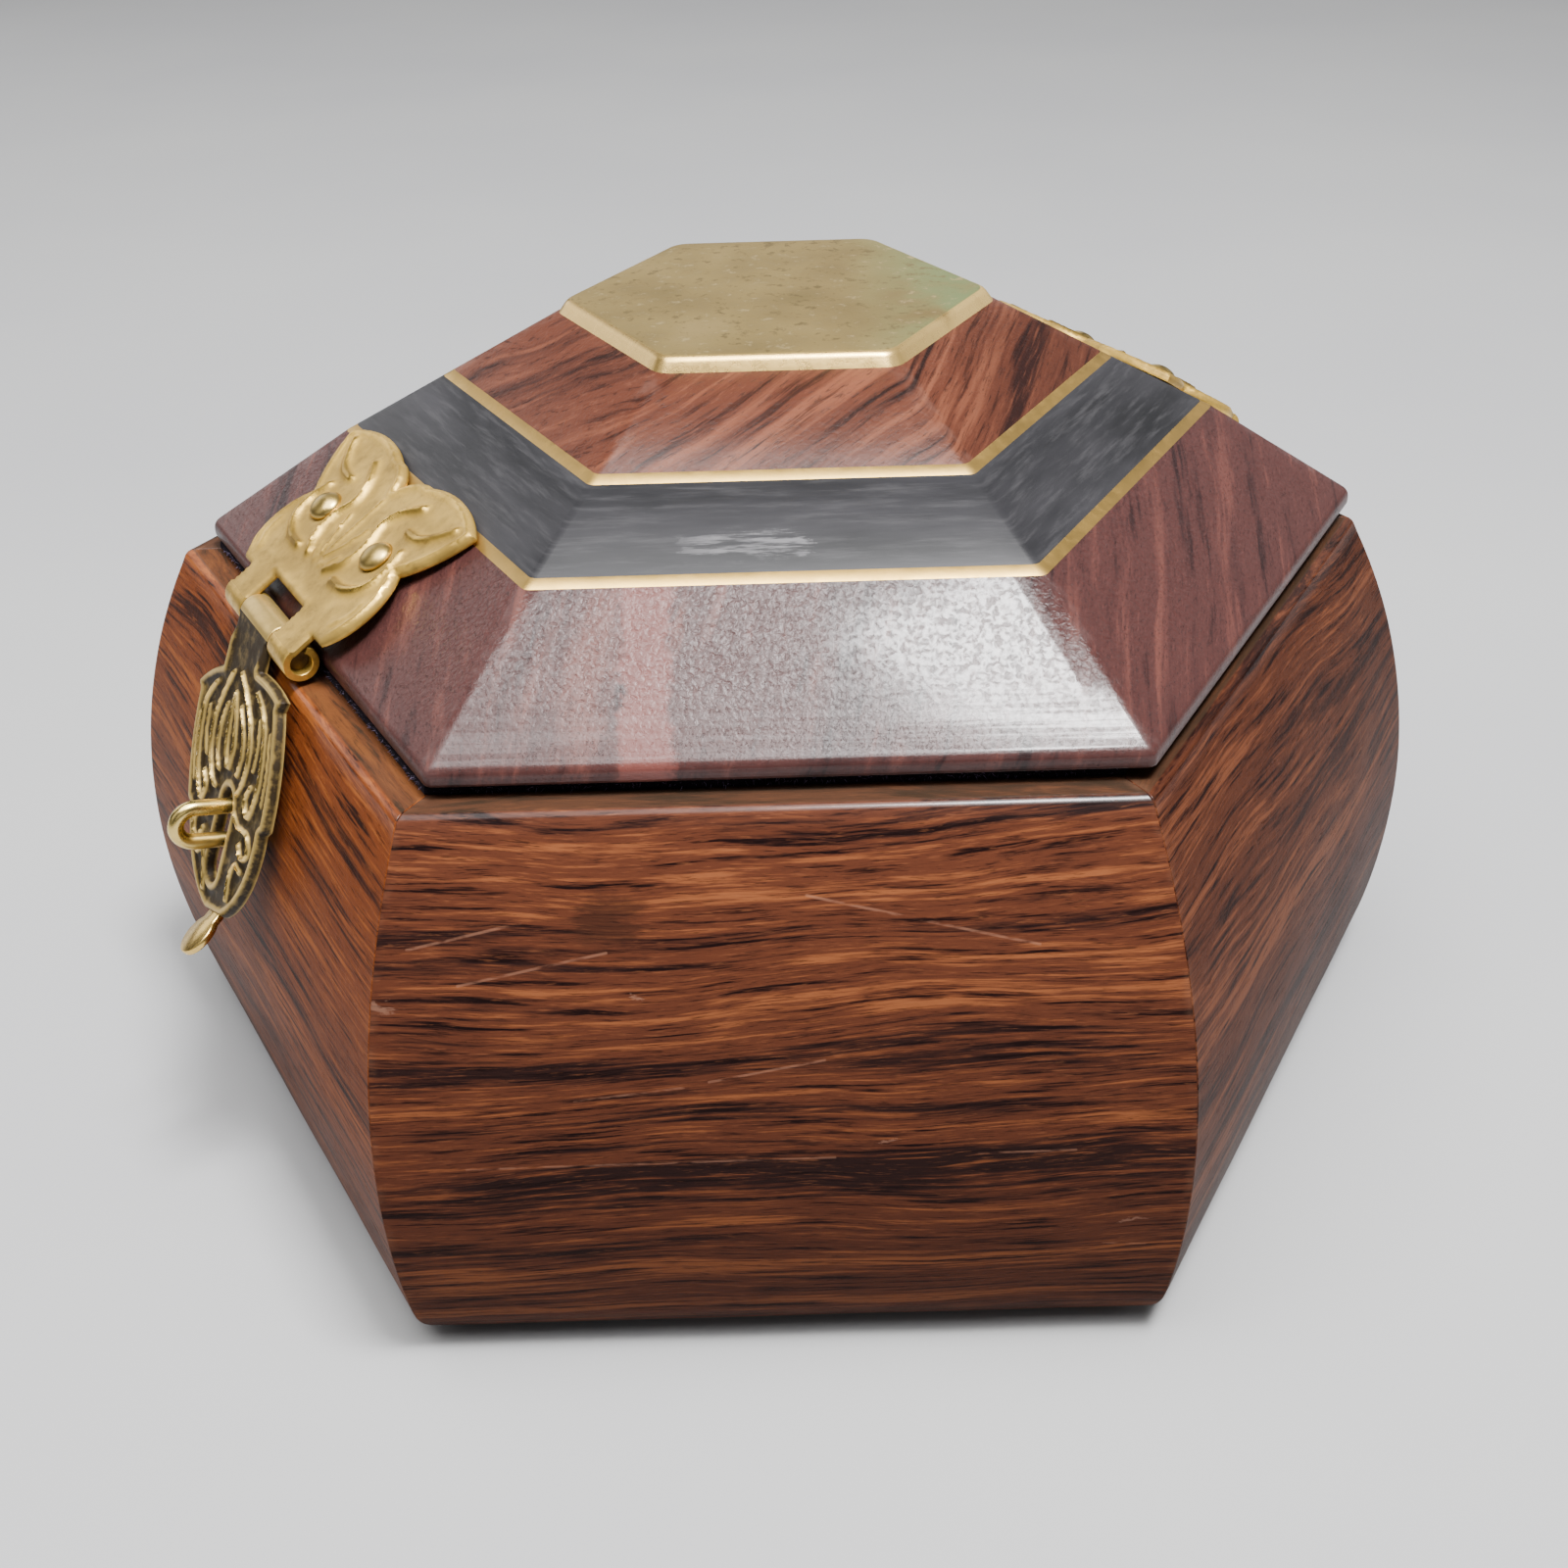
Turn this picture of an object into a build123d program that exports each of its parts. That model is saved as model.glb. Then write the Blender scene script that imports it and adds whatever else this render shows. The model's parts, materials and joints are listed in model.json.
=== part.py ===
from build123d import *
import os
from math import acos, asin, atan2, cos, degrees, hypot, radians, sin, sqrt, tan

# A six-sided rosewood keepsake box with a hipped lid, a rear hinge and a front hasp and staple.
# Millimetres, +Z up, origin at the centre of the base. The box's corners lie on the X axis.
# The hasp is on the wall facing 210 degrees and the hinge on the wall facing 30 degrees.

# Driving dimensions of the box
wall_angles = {
    "front": 270,
    "front_right": 330,
    "back_right": 30,
    "back": 90,
    "back_left": 150,
    "front_left": 210,
}
body_height = 46.6
belly_apothem = 51.6
belly_height = 17.0
rim_apothem = 44.5
rim_width = 6.5
rim_round = 1.0
base_round = 5.5
floor_thickness = 6.0
floor_rebate = 3.0

# Driving dimensions of the velvet
lining_thickness = 0.9
lining_turnover = 4.0
floor_lining_thickness = 1.2
lid_lining_thickness = 1.2
lid_lining_clearance = 0.6
lid_rest_clearance = 0.1

# Driving dimensions of the lid
lid_apothem = 43.3
lid_set_back = 1.3
lip_height = 1.25
lower_slope = 36.0
upper_slope = 31.0
lid_base_thickness = 9.4
brass_sheet_thickness = 0.5
black_band_thickness = 4.1
upper_block_thickness = 4.7
top_plate_thickness = 1.2
arris_round = 0.8
plate_corner_round = 1.8
plate_edge_round = 0.5

# Driving dimensions of the hinge and hasp
hinge_angle = 30
hasp_angle = 210
hasp_offset = -3.0
hinge_offset = 0.0
leaf_lift = 0.3
leaf_sheet = 0.6
pin_radius = 0.8
pin_clearance = 0.05
pin_end_recess = 0.8
knuckle_gap = 0.35
knuckle_length = 15.0
middle_knuckle_length = 6.8
knuckle_side_gap = 0.15
window_height = 3.0
leaf_step_height = 2.1
leaf_foot_half_width = 9.2
leaf_lobe_bow = (10.8, 6.0)
leaf_cusp = (9.4, 9.9)
leaf_wing_bow = (11.5, 12.6)
leaf_wing_tip = (12.9, 15.9)
leaf_crest_bow = (8.0, 17.3)
leaf_crest_end = (3.4, 16.6)
leaf_cleft_bow = (1.2, 16.0)
leaf_cleft_height = 14.5
leaf_nail_spread = 11.5
leaf_nail_height = 9.7
body_leaf_seat_gap = 0.02
body_leaf_strap_lap = 0.4

# Driving dimensions of the nails
nail_head_radius = 1.5
nail_head_height = 0.9
nail_shank_radius = 0.6
nail_length = 5.5
nail_clearance = 0.05

# Driving dimensions of the flap and staple
flap_wall_gap = 0.8
flap_length = 22.4
flap_half_width = 9.2
flap_neck_length = 2.6
flap_neck_reach = 3.7
flap_skew = 18.0
flap_shoulder_drop = 4.4
flap_shoulder_bow = (2.6, 0.5)
flap_barb = (0.6, 0.8)
flap_side_bow = 4.6
flap_nick_drop = 14.4
flap_nick = (0.7, 0.4)
flap_foot_bow = (6.1, 19.2)
flap_foot_half_width = 1.8
slot_top = 12.7
slot_bottom = 20.6
slot_width = 2.4
tab_length = 4.2
tab_stem_width = 2.2
tab_head_radius = 1.8
tab_droop = 55.0
staple_wire_radius = 0.65
staple_leg_spacing = 3.0
staple_drop = 15.0
staple_droop = 8.0
staple_reach = 4.8
staple_depth = 8.0
staple_clearance = 0.05

# Sizes worked out from the driving dimensions
corner_half_angle = radians(30)
belly_span = body_height - belly_height
belly_swell = belly_apothem - rim_apothem
belly_radius = (belly_span**2 + belly_swell**2) / (2 * belly_swell)
belly_center = belly_apothem - belly_radius
base_apothem = belly_center + sqrt(belly_radius**2 - belly_height**2)
inner_apothem = rim_apothem - rim_width
floor_apothem = inner_apothem + floor_rebate
wedge_reach = 2 * belly_apothem

lid_gap = lining_thickness + lid_rest_clearance
lid_bottom = body_height + lid_gap
lower_sheet_level = lid_base_thickness
black_level = lower_sheet_level + brass_sheet_thickness
upper_sheet_level = black_level + black_band_thickness
block_level = upper_sheet_level + brass_sheet_thickness
plate_level = block_level + upper_block_thickness
lid_height = plate_level + top_plate_thickness
lid_center = (
    lid_set_back * cos(radians(hinge_angle)),
    lid_set_back * sin(radians(hinge_angle)),
    lid_bottom,
)

pin_bore = pin_radius + pin_clearance
knuckle_radius = pin_bore + leaf_sheet
middle_half = middle_knuckle_length / 2
window_half = middle_half + knuckle_side_gap
knuckle_half = knuckle_length / 2
leaf_slope = radians(upper_slope)
break_apothem = lid_apothem - (lid_base_thickness - lip_height) / tan(radians(lower_slope))
axis_apothem = lid_apothem + knuckle_radius + knuckle_gap
leaf_foot_apothem = axis_apothem + pin_bore * sin(leaf_slope)
leaf_drop = (leaf_foot_apothem - break_apothem) * tan(leaf_slope)
leaf_foot_height = lid_base_thickness - leaf_drop + leaf_lift / cos(leaf_slope)
axis_height = lid_bottom + leaf_foot_height - pin_bore * cos(leaf_slope)
hinge_axis_radius = axis_apothem + lid_set_back
hasp_axis_radius = axis_apothem - lid_set_back

# The flap leans on the belly like a tangent, a small gap off the wall
foot_round = min(base_round, 0.8 * (base_apothem - floor_apothem))
flap_swing = hypot(hasp_axis_radius - belly_center, axis_height - belly_height)
flap_lean = min(1.0, (belly_radius + flap_wall_gap - pin_bore) / flap_swing)
pin_bearing = atan2(axis_height - belly_height, hasp_axis_radius - belly_center)
flap_tilt = degrees(pin_bearing - acos(flap_lean))
staple_rise = flap_tilt - staple_droop


# Planes and directions on one side of the box

def outward(angle):
    return Vector(cos(radians(angle)), sin(radians(angle)), 0)


def along(angle):
    return Vector(-sin(radians(angle)), cos(radians(angle)), 0)


def section_plane(angle, offset=0.0):
    """The upright plane through one side's middle: x points outward and y points up."""
    return Plane(origin=along(angle) * offset, x_dir=outward(angle), z_dir=-along(angle))


def tilted_plane(origin, angle, rise):
    """A plane whose normal leaves one side at an angle above the horizontal, with x along the side."""
    normal = outward(angle) * cos(radians(rise)) + Vector(0, 0, 1) * sin(radians(rise))
    return Plane(origin=origin, x_dir=along(angle), z_dir=normal)


def wedge(angle):
    """One sixth of the plan, out to well past the walls, so that neighbours meet in mitres."""
    half_width = wedge_reach * tan(corner_half_angle)
    plan = Polygon((0, 0), (wedge_reach, -half_width), (wedge_reach, half_width), align=None)
    return extrude(Rot(0, 0, angle) * plan, 2 * wedge_reach, both=True)


def mitred(section, angle):
    """A section swept along one side and cut to its mitres."""
    bar = extrude(section_plane(angle) * section, wedge_reach, both=True)
    return bar & wedge(angle)


def hexagon(apothem, corner_round=0.0):
    radius = apothem / cos(corner_half_angle)
    corners = [(radius * cos(radians(60 * k)), radius * sin(radians(60 * k))) for k in range(6)]
    plan = Polygon(*corners, align=None)
    if corner_round > 0:
        plan = fillet(plan.vertices(), corner_round)
    return plan


def wall_apothem(height):
    """How far out the belly's face stands at a height."""
    return belly_center + sqrt(belly_radius**2 - (height - belly_height)**2)


# Box: six mitred walls, a floor board and the velvet

def wall_section():
    belly = ThreePointArc((base_apothem, 0), (belly_apothem, belly_height), (rim_apothem, body_height))
    inside = Polyline(
        (rim_apothem, body_height),
        (inner_apothem, body_height),
        (inner_apothem, floor_thickness),
        (floor_apothem, floor_thickness),
        (floor_apothem, 0),
        (base_apothem, 0),
    )
    section = make_face(belly + inside)
    foot = section.vertices().sort_by_distance((base_apothem, 0, 0))[0]
    section = fillet(foot, foot_round)
    rim = section.vertices().sort_by_distance((rim_apothem, body_height, 0))[0]
    return fillet(rim, rim_round)


def wall_lining_section():
    face = inner_apothem - lining_thickness
    turned_edge = inner_apothem + lining_turnover
    return make_face(Polyline(
        (face, floor_thickness + floor_lining_thickness),
        (inner_apothem, floor_thickness + floor_lining_thickness),
        (inner_apothem, body_height),
        (turned_edge, body_height),
        (turned_edge, body_height + lining_thickness),
        (face, body_height + lining_thickness),
        close=True,
    ))


def floor_board():
    return extrude(hexagon(floor_apothem), floor_thickness)


def floor_lining():
    return Pos(0, 0, floor_thickness) * extrude(hexagon(inner_apothem), floor_lining_thickness)


# Lid: a stack of wood, brass and black layers on one pyramid

def lid_face(level):
    """How far out the lid's sides stand at a level above its underside."""
    if level <= lip_height:
        return lid_apothem
    if level <= lid_base_thickness:
        return lid_apothem - (level - lip_height) / tan(radians(lower_slope))
    return break_apothem - (level - lid_base_thickness) / tan(radians(upper_slope))


def lid_layer(*levels, corner_round=arris_round):
    sections = [Pos(0, 0, level) * hexagon(lid_face(level), corner_round) for level in levels]
    return Pos(*lid_center) * loft(sections, ruled=True)


def top_plate():
    plate = lid_layer(plate_level, lid_height, corner_round=plate_corner_round)
    top_edges = plate.faces().sort_by(Axis.Z)[-1].edges()
    return fillet(top_edges, plate_edge_round)


def lid_lining():
    apothem = inner_apothem - lining_thickness - lid_lining_clearance
    return Pos(0, 0, lid_bottom - lid_lining_thickness) * extrude(hexagon(apothem), lid_lining_thickness)


# Nails, hinge and hasp

def nail():
    """A dome-headed nail standing on its plane, with its shank below."""
    dome_radius = (nail_head_radius**2 + nail_head_height**2) / (2 * nail_head_height)
    dome_middle = (
        dome_radius * sin(asin(nail_head_radius / dome_radius) / 2),
        nail_head_height - dome_radius * (1 - cos(asin(nail_head_radius / dome_radius) / 2)),
    )
    dome = ThreePointArc((nail_head_radius, 0), dome_middle, (0, nail_head_height))
    shank = Polyline(
        (0, nail_head_height),
        (0, -nail_length - leaf_sheet),
        (nail_shank_radius, -nail_length - leaf_sheet),
        (nail_shank_radius, 0),
        (nail_head_radius, 0),
    )
    return revolve(Plane.XZ * make_face(dome + shank), Axis.Z)


def nail_hole():
    return Cylinder(nail_shank_radius + nail_clearance, 4 * nail_length)


def leaf_nail_seats(plane):
    """Where a leaf's two nails stand on its outer face."""
    return [plane * Pos(side * leaf_nail_spread / 2, leaf_nail_height, leaf_sheet) for side in (-1, 1)]


def mirrored(half):
    return half + mirror(half, Plane.YZ)


def leaf_outline():
    """A stamped leaf with two lobes and spread wings, drawn upward from its pin."""
    step = (leaf_foot_half_width, leaf_step_height)
    cleft_bottom = (0, leaf_cleft_height)
    foot = Polyline((0, 0), (knuckle_half, 0), (knuckle_half, leaf_step_height), step)
    lobe = ThreePointArc(step, leaf_lobe_bow, leaf_cusp)
    wing = ThreePointArc(leaf_cusp, leaf_wing_bow, leaf_wing_tip)
    crest = ThreePointArc(leaf_wing_tip, leaf_crest_bow, leaf_crest_end)
    cleft = ThreePointArc(leaf_crest_end, leaf_cleft_bow, cleft_bottom)
    spine = Line(cleft_bottom, (0, 0))
    return mirrored(make_face(foot + lobe + wing + crest + cleft + spine))


def knuckle(plane, start, length):
    """A rolled knuckle along x whose pin axis is the plane's own x axis."""
    ring = Circle(knuckle_radius) - Circle(pin_bore)
    across = Plane(origin=(start, 0, 0), x_dir=(0, 1, 0), z_dir=(1, 0, 0))
    return plane * extrude(across * ring, length)


def lid_leaf_plane(angle, offset):
    """The underside of a leaf on the lid, with its origin above the pin's axis."""
    foot = outward(angle) * leaf_foot_apothem + along(angle) * offset
    origin = Vector(*lid_center) + foot + Vector(0, 0, leaf_foot_height)
    return tilted_plane(origin, angle, 90 - upper_slope)


def pin_plane(angle, offset, rise=0.0):
    """A plane through a pin's axis."""
    origin = Vector(*lid_center) + outward(angle) * axis_apothem + along(angle) * offset
    origin = Vector(origin.X, origin.Y, axis_height)
    return tilted_plane(origin, angle, rise)


def lid_leaf(angle, offset):
    """A leaf nailed to the lid, with two outer knuckles and a window for the middle one."""
    plane = lid_leaf_plane(angle, offset)
    leaf = plane * extrude(leaf_outline(), leaf_sheet)
    axis_plane = Plane(plane.location * Pos(0, 0, -pin_bore))
    outer_length = knuckle_half - window_half
    for start in (-knuckle_half, window_half):
        leaf += knuckle(axis_plane, start, outer_length)
    window_reach = knuckle_radius + pin_bore
    window = Box(2 * window_half, 2 * window_height, 2 * window_reach)
    leaf -= plane * window
    leaf -= axis_plane * Rot(0, 90, 0) * Cylinder(pin_bore, knuckle_length)
    for seat in leaf_nail_seats(plane):
        leaf -= seat * nail_hole()
    return leaf


def pin(angle, offset):
    length = knuckle_length - 2 * pin_end_recess
    return pin_plane(angle, offset) * Rot(0, 90, 0) * Cylinder(pin_radius, length)


def hasp_lid_plane():
    return lid_leaf_plane(hasp_angle, hasp_offset)


def hinge_lid_plane():
    return lid_leaf_plane(hinge_angle, hinge_offset)


def nail_group(seats):
    return Compound(children=[seat * nail() for seat in seats])


def body_leaf_nail_seats():
    """The body leaf's nails stand square to the curved wall."""
    height = axis_height - leaf_nail_height
    rise = degrees(asin((height - belly_height) / belly_radius))
    face = wall_apothem(height) + body_leaf_seat_gap / cos(radians(rise))
    origin = outward(hinge_angle) * face + along(hinge_angle) * hinge_offset + Vector(0, 0, height)
    plane = tilted_plane(origin, hinge_angle, rise)
    return [plane * Pos(side * leaf_nail_spread / 2, 0, leaf_sheet) for side in (-1, 1)]


def hinge_body_leaf():
    """A leaf bent to the wall, rolled outward at its top into the middle knuckle."""
    plane = pin_plane(hinge_angle, hinge_offset)
    blank = plane * extrude(Rot(0, 0, 180) * leaf_outline(), belly_apothem, both=True)
    inner_radius = belly_radius + body_leaf_seat_gap
    ring = Circle(inner_radius + leaf_sheet) - Circle(inner_radius)
    ring = Pos(belly_center, belly_height) * ring
    shell = extrude(section_plane(hinge_angle) * ring, 2 * knuckle_length, both=True)
    strap_inner = hinge_axis_radius - knuckle_radius
    strap_foot = belly_height + sqrt(inner_radius**2 - (strap_inner - belly_center)**2)
    leaf_top = strap_foot + body_leaf_strap_lap
    below = Pos(0, 0, leaf_top - belly_apothem) * Box(4 * belly_apothem, 4 * belly_apothem, 2 * belly_apothem)
    leaf = blank & shell & below
    strap = Polygon(
        (strap_inner, strap_foot),
        (strap_inner + leaf_sheet, strap_foot),
        (strap_inner + leaf_sheet, axis_height),
        (strap_inner, axis_height),
        align=None,
    )
    strap_bar = extrude(section_plane(hinge_angle, hinge_offset) * strap, middle_half, both=True)
    leaf += strap_bar
    leaf += knuckle(plane, -middle_half, middle_knuckle_length)
    leaf -= plane * Rot(0, 90, 0) * Cylinder(pin_bore, knuckle_length)
    for seat in body_leaf_nail_seats():
        leaf -= seat * nail_hole()
    return leaf


def flap_plane():
    return pin_plane(hasp_angle, hasp_offset, flap_tilt)


def flap_outline():
    """The flap's shield below its neck, with pointed shoulders and a narrow foot."""
    neck_end = (middle_half, -flap_neck_length)
    shoulder_bow = (middle_half + flap_shoulder_bow[0], -flap_neck_length - flap_shoulder_bow[1])
    shoulder_tip = (flap_half_width, -flap_shoulder_drop)
    barb_end = (flap_half_width - flap_barb[0], -flap_shoulder_drop - flap_barb[1])
    side_bow = (flap_half_width, barb_end[1] - flap_side_bow)
    side_end = (barb_end[0], -flap_nick_drop)
    nick_end = (side_end[0] - flap_nick[0], side_end[1] - flap_nick[1])
    foot_corner = (flap_foot_half_width, -flap_length)
    neck = Line((0, -flap_neck_length), neck_end)
    shoulder = ThreePointArc(neck_end, shoulder_bow, shoulder_tip)
    barb = Line(shoulder_tip, barb_end)
    side = ThreePointArc(barb_end, side_bow, side_end)
    nick = Line(side_end, nick_end)
    foot = ThreePointArc(nick_end, (flap_foot_bow[0], -flap_foot_bow[1]), foot_corner)
    close = Polyline(foot_corner, (0, -flap_length), (0, -flap_neck_length))
    return mirrored(make_face(neck + shoulder + barb + side + nick + foot + close))


def flap_hang():
    """Turns the shield askew about the end of its neck, as it has been bent in use."""
    return Pos(0, -flap_neck_reach) * Rot(0, 0, flap_skew) * Pos(0, flap_neck_length)


def staple_seat():
    """Where the staple meets the flap, in the flap's own plane."""
    return (flap_hang() * Pos(0, -staple_drop)).position


def hasp_flap():
    plane = flap_plane()
    neck_depth = flap_neck_reach + middle_half * sin(radians(flap_skew))
    neck = Pos(0, -neck_depth / 2) * Rectangle(middle_knuckle_length, neck_depth)
    flap = plane * Pos(0, 0, pin_bore) * extrude(flap_hang() * flap_outline() + neck, leaf_sheet)
    flap += knuckle(plane, -middle_half, middle_knuckle_length)
    slot_middle = -(slot_top + slot_bottom) / 2
    slot = extrude(SlotOverall(slot_bottom - slot_top, slot_width, rotation=90), 4 * knuckle_radius, both=True)
    flap -= plane * Pos(staple_seat().X, slot_middle, 0) * slot
    tab_plan = Rectangle(tab_stem_width, tab_length - tab_head_radius, align=(Align.CENTER, Align.MIN))
    tab_plan += Pos(0, tab_length - tab_head_radius) * Circle(tab_head_radius)
    tab_normal = (0, cos(radians(tab_droop)), sin(radians(tab_droop)))
    tab_plane = Plane(origin=(0, -flap_length, pin_bore), x_dir=(-1, 0, 0), z_dir=tab_normal)
    flap += plane * flap_hang() * extrude(tab_plane * tab_plan, leaf_sheet)
    flap -= plane * Rot(0, 90, 0) * Cylinder(pin_bore, knuckle_length)
    return flap


def staple_plane():
    """The upright plane of the staple's bow, with x along its legs and its origin on the flap."""
    flap = flap_plane()
    seat = flap.from_local_coords((staple_seat().X, staple_seat().Y, pin_bore + leaf_sheet / 2))
    legs = outward(hasp_angle) * cos(radians(staple_rise)) + Vector(0, 0, 1) * sin(radians(staple_rise))
    return Plane(origin=seat, x_dir=legs, z_dir=-along(hasp_angle))


def staple():
    half = staple_leg_spacing / 2
    bend = staple_reach - half - staple_wire_radius
    path = Line((-staple_depth, half), (bend, half))
    path += ThreePointArc((bend, half), (bend + half, 0), (bend, -half))
    path += Line((bend, -half), (-staple_depth, -half))
    plane = staple_plane()
    start = Plane(origin=(-staple_depth, half, 0), z_dir=(1, 0, 0))
    return plane * sweep(start * Circle(staple_wire_radius), path=path)


def staple_holes():
    plane = staple_plane()
    holes = []
    for side in (-1, 1):
        leg = Pos(-staple_depth / 2, side * staple_leg_spacing / 2, 0) * Rot(0, 90, 0)
        holes.append(plane * leg * Cylinder(staple_wire_radius + staple_clearance, staple_depth))
    return holes


def wall(angle):
    """One wall with the holes of whatever is driven into it."""
    board = mitred(wall_section(), angle)
    if angle == hasp_angle:
        for hole in staple_holes():
            board -= hole
    if angle == hinge_angle:
        for seat in body_leaf_nail_seats():
            board -= seat * Pos(0, 0, -nail_length / 2 - leaf_sheet) * Cylinder(
                nail_shank_radius + nail_clearance, nail_length)
    return board


def lid_base():
    """The lid's lower block, drilled for the nails of both leaves."""
    block = lid_layer(0, lip_height, lid_base_thickness)
    for plane in (hasp_lid_plane(), hinge_lid_plane()):
        for seat in leaf_nail_seats(plane):
            block -= seat * Pos(0, 0, -nail_length / 2 - leaf_sheet) * Cylinder(
                nail_shank_radius + nail_clearance, nail_length)
    return block


def build_nodes():
    nodes = {}
    for name, angle in wall_angles.items():
        nodes["wall_" + name] = wall(angle)
        nodes["lining_" + name] = mitred(wall_lining_section(), angle)
    nodes["floor_board"] = floor_board()
    nodes["floor_lining"] = floor_lining()
    nodes["lid_base"] = lid_base()
    nodes["lower_brass_sheet"] = lid_layer(lower_sheet_level, black_level)
    nodes["black_band"] = lid_layer(black_level, upper_sheet_level)
    nodes["upper_brass_sheet"] = lid_layer(upper_sheet_level, block_level)
    nodes["upper_block"] = lid_layer(block_level, plate_level)
    nodes["top_plate"] = top_plate()
    nodes["lid_lining"] = lid_lining()
    nodes["hinge_lid_leaf"] = lid_leaf(hinge_angle, hinge_offset)
    nodes["hinge_lid_nails"] = nail_group(leaf_nail_seats(hinge_lid_plane()))
    nodes["hinge_body_leaf"] = hinge_body_leaf()
    nodes["hinge_body_nails"] = nail_group(body_leaf_nail_seats())
    nodes["hinge_pin"] = pin(hinge_angle, hinge_offset)
    nodes["hasp_lid_leaf"] = lid_leaf(hasp_angle, hasp_offset)
    nodes["hasp_lid_nails"] = nail_group(leaf_nail_seats(hasp_lid_plane()))
    nodes["hasp_pin"] = pin(hasp_angle, hasp_offset)
    nodes["hasp_flap"] = hasp_flap()
    nodes["hasp_staple"] = staple()
    return nodes


os.makedirs("parts", exist_ok=True)
for node_name, solid in build_nodes().items():
    export_step(solid, os.path.join("parts", node_name + ".step"))
print("hinge axis", round(hinge_axis_radius, 3), "from the centre, height", round(axis_height, 3))
print("hasp axis", round(hasp_axis_radius, 3), "from the centre, height", round(axis_height, 3))
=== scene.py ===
# %% [markdown]
# # A six-sided rosewood keepsake box
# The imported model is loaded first, as a fixed frame. Every piece made below goes where the frame
# says, in metres, and rides on one of its three bodies: the box, the lid and the hasp's flap.

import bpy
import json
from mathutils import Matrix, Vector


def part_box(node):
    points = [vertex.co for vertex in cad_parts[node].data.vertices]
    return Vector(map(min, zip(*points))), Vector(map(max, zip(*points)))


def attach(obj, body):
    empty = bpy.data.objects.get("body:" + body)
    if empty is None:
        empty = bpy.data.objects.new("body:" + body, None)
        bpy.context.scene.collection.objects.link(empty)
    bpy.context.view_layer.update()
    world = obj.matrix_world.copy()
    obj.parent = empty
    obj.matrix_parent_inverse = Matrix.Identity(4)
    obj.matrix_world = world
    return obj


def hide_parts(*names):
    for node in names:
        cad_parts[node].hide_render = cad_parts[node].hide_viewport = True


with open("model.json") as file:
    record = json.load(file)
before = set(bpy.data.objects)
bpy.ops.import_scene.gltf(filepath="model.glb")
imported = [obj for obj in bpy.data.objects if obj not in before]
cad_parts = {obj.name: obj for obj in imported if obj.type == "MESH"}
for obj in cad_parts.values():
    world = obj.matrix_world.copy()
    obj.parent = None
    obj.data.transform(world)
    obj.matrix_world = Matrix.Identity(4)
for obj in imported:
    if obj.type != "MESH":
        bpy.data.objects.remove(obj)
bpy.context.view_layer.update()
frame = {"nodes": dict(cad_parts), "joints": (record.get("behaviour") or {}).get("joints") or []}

# %% [markdown]
# Lengths are easier to read in millimetres, so one helper turns a node's box into them. The box's
# and the lid's main sizes come from the frame, and are not typed again.

# %% Main sizes from the frame
import json
import math

import bmesh
import bpy
import numpy as np
from mathutils import Matrix, Vector, noise
from mathutils.geometry import delaunay_2d_cdt

MM = 0.001


def node_box(name):
    """Lowest and highest corner of a node, in millimetres."""
    low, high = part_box(name)
    return np.array(low) / MM, np.array(high) / MM


wall_low, wall_high = node_box("wall_front")
body_height = wall_high[2]
belly_apothem = -wall_low[1]
lid_low, lid_high = node_box("lid_base")
lid_bottom = lid_low[2]
lid_apothem = (lid_high[1] - lid_low[1]) / 2
lid_center = (lid_low[:2] + lid_high[:2]) / 2
print("rim at", round(body_height, 2), "lid from", round(lid_bottom, 2), "centre", lid_center.round(3))

# %% [markdown]
# The camera stands where the photograph was taken: a short distance in front of the box, about 32
# degrees up, and turned a little about its own axis. Its place comes from three angles, a distance
# and a slide that were fitted to the box's corners, so it is worked out here and not typed as a
# matrix.

# %% Camera
def linked(name, data):
    """A new object in the scene."""
    made = bpy.data.objects.new(name, data)
    bpy.context.scene.collection.objects.link(made)
    return made


camera_turn = math.radians(-0.0053)
camera_height = math.radians(32.1805)
camera_roll = math.radians(-1.6058)
camera_distance = 163.6911
camera_slide = (0.2089, -23.3843)
focal_share = 1892.83 / 1600
sensor = 36.0

back = Vector((
    math.sin(camera_turn) * math.cos(camera_height),
    -math.cos(camera_turn) * math.cos(camera_height),
    math.sin(camera_height),
))
right = Vector((math.cos(camera_turn), math.sin(camera_turn), 0))
up = back.cross(right)
camera_x = right * math.cos(camera_roll) + up * math.sin(camera_roll)
camera_y = up * math.cos(camera_roll) - right * math.sin(camera_roll)
aim = Vector((lid_center[0], lid_center[1], lid_bottom))
camera_place = aim + camera_x * camera_slide[0] + camera_y * camera_slide[1] + back * camera_distance

camera_data = bpy.data.cameras.new("camera")
camera_data.lens = focal_share * sensor
camera_data.sensor_width = sensor
camera_data.clip_start = 0.005
camera = linked("camera", camera_data)
camera.matrix_world = Matrix.Translation(camera_place * MM) @ Matrix(
    (camera_x, camera_y, back)
).transposed().to_4x4()
bpy.context.scene.camera = camera
print("camera at", [round(v, 2) for v in camera_place])

# %% [markdown]
# The light is plain and soft, as in a small studio. A wide softbox overhead puts a haze on the
# faces that lean to the camera, a smaller and brighter one to its right makes the white gloss on
# the front of the lid, and weak panels all round give the brass something to mirror. A softbox is
# set by how bright its own face looks, because that is what a polished surface shows; its power
# then follows from its area.

# %% Light
light_target = Vector((0, 0, 40))


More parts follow.
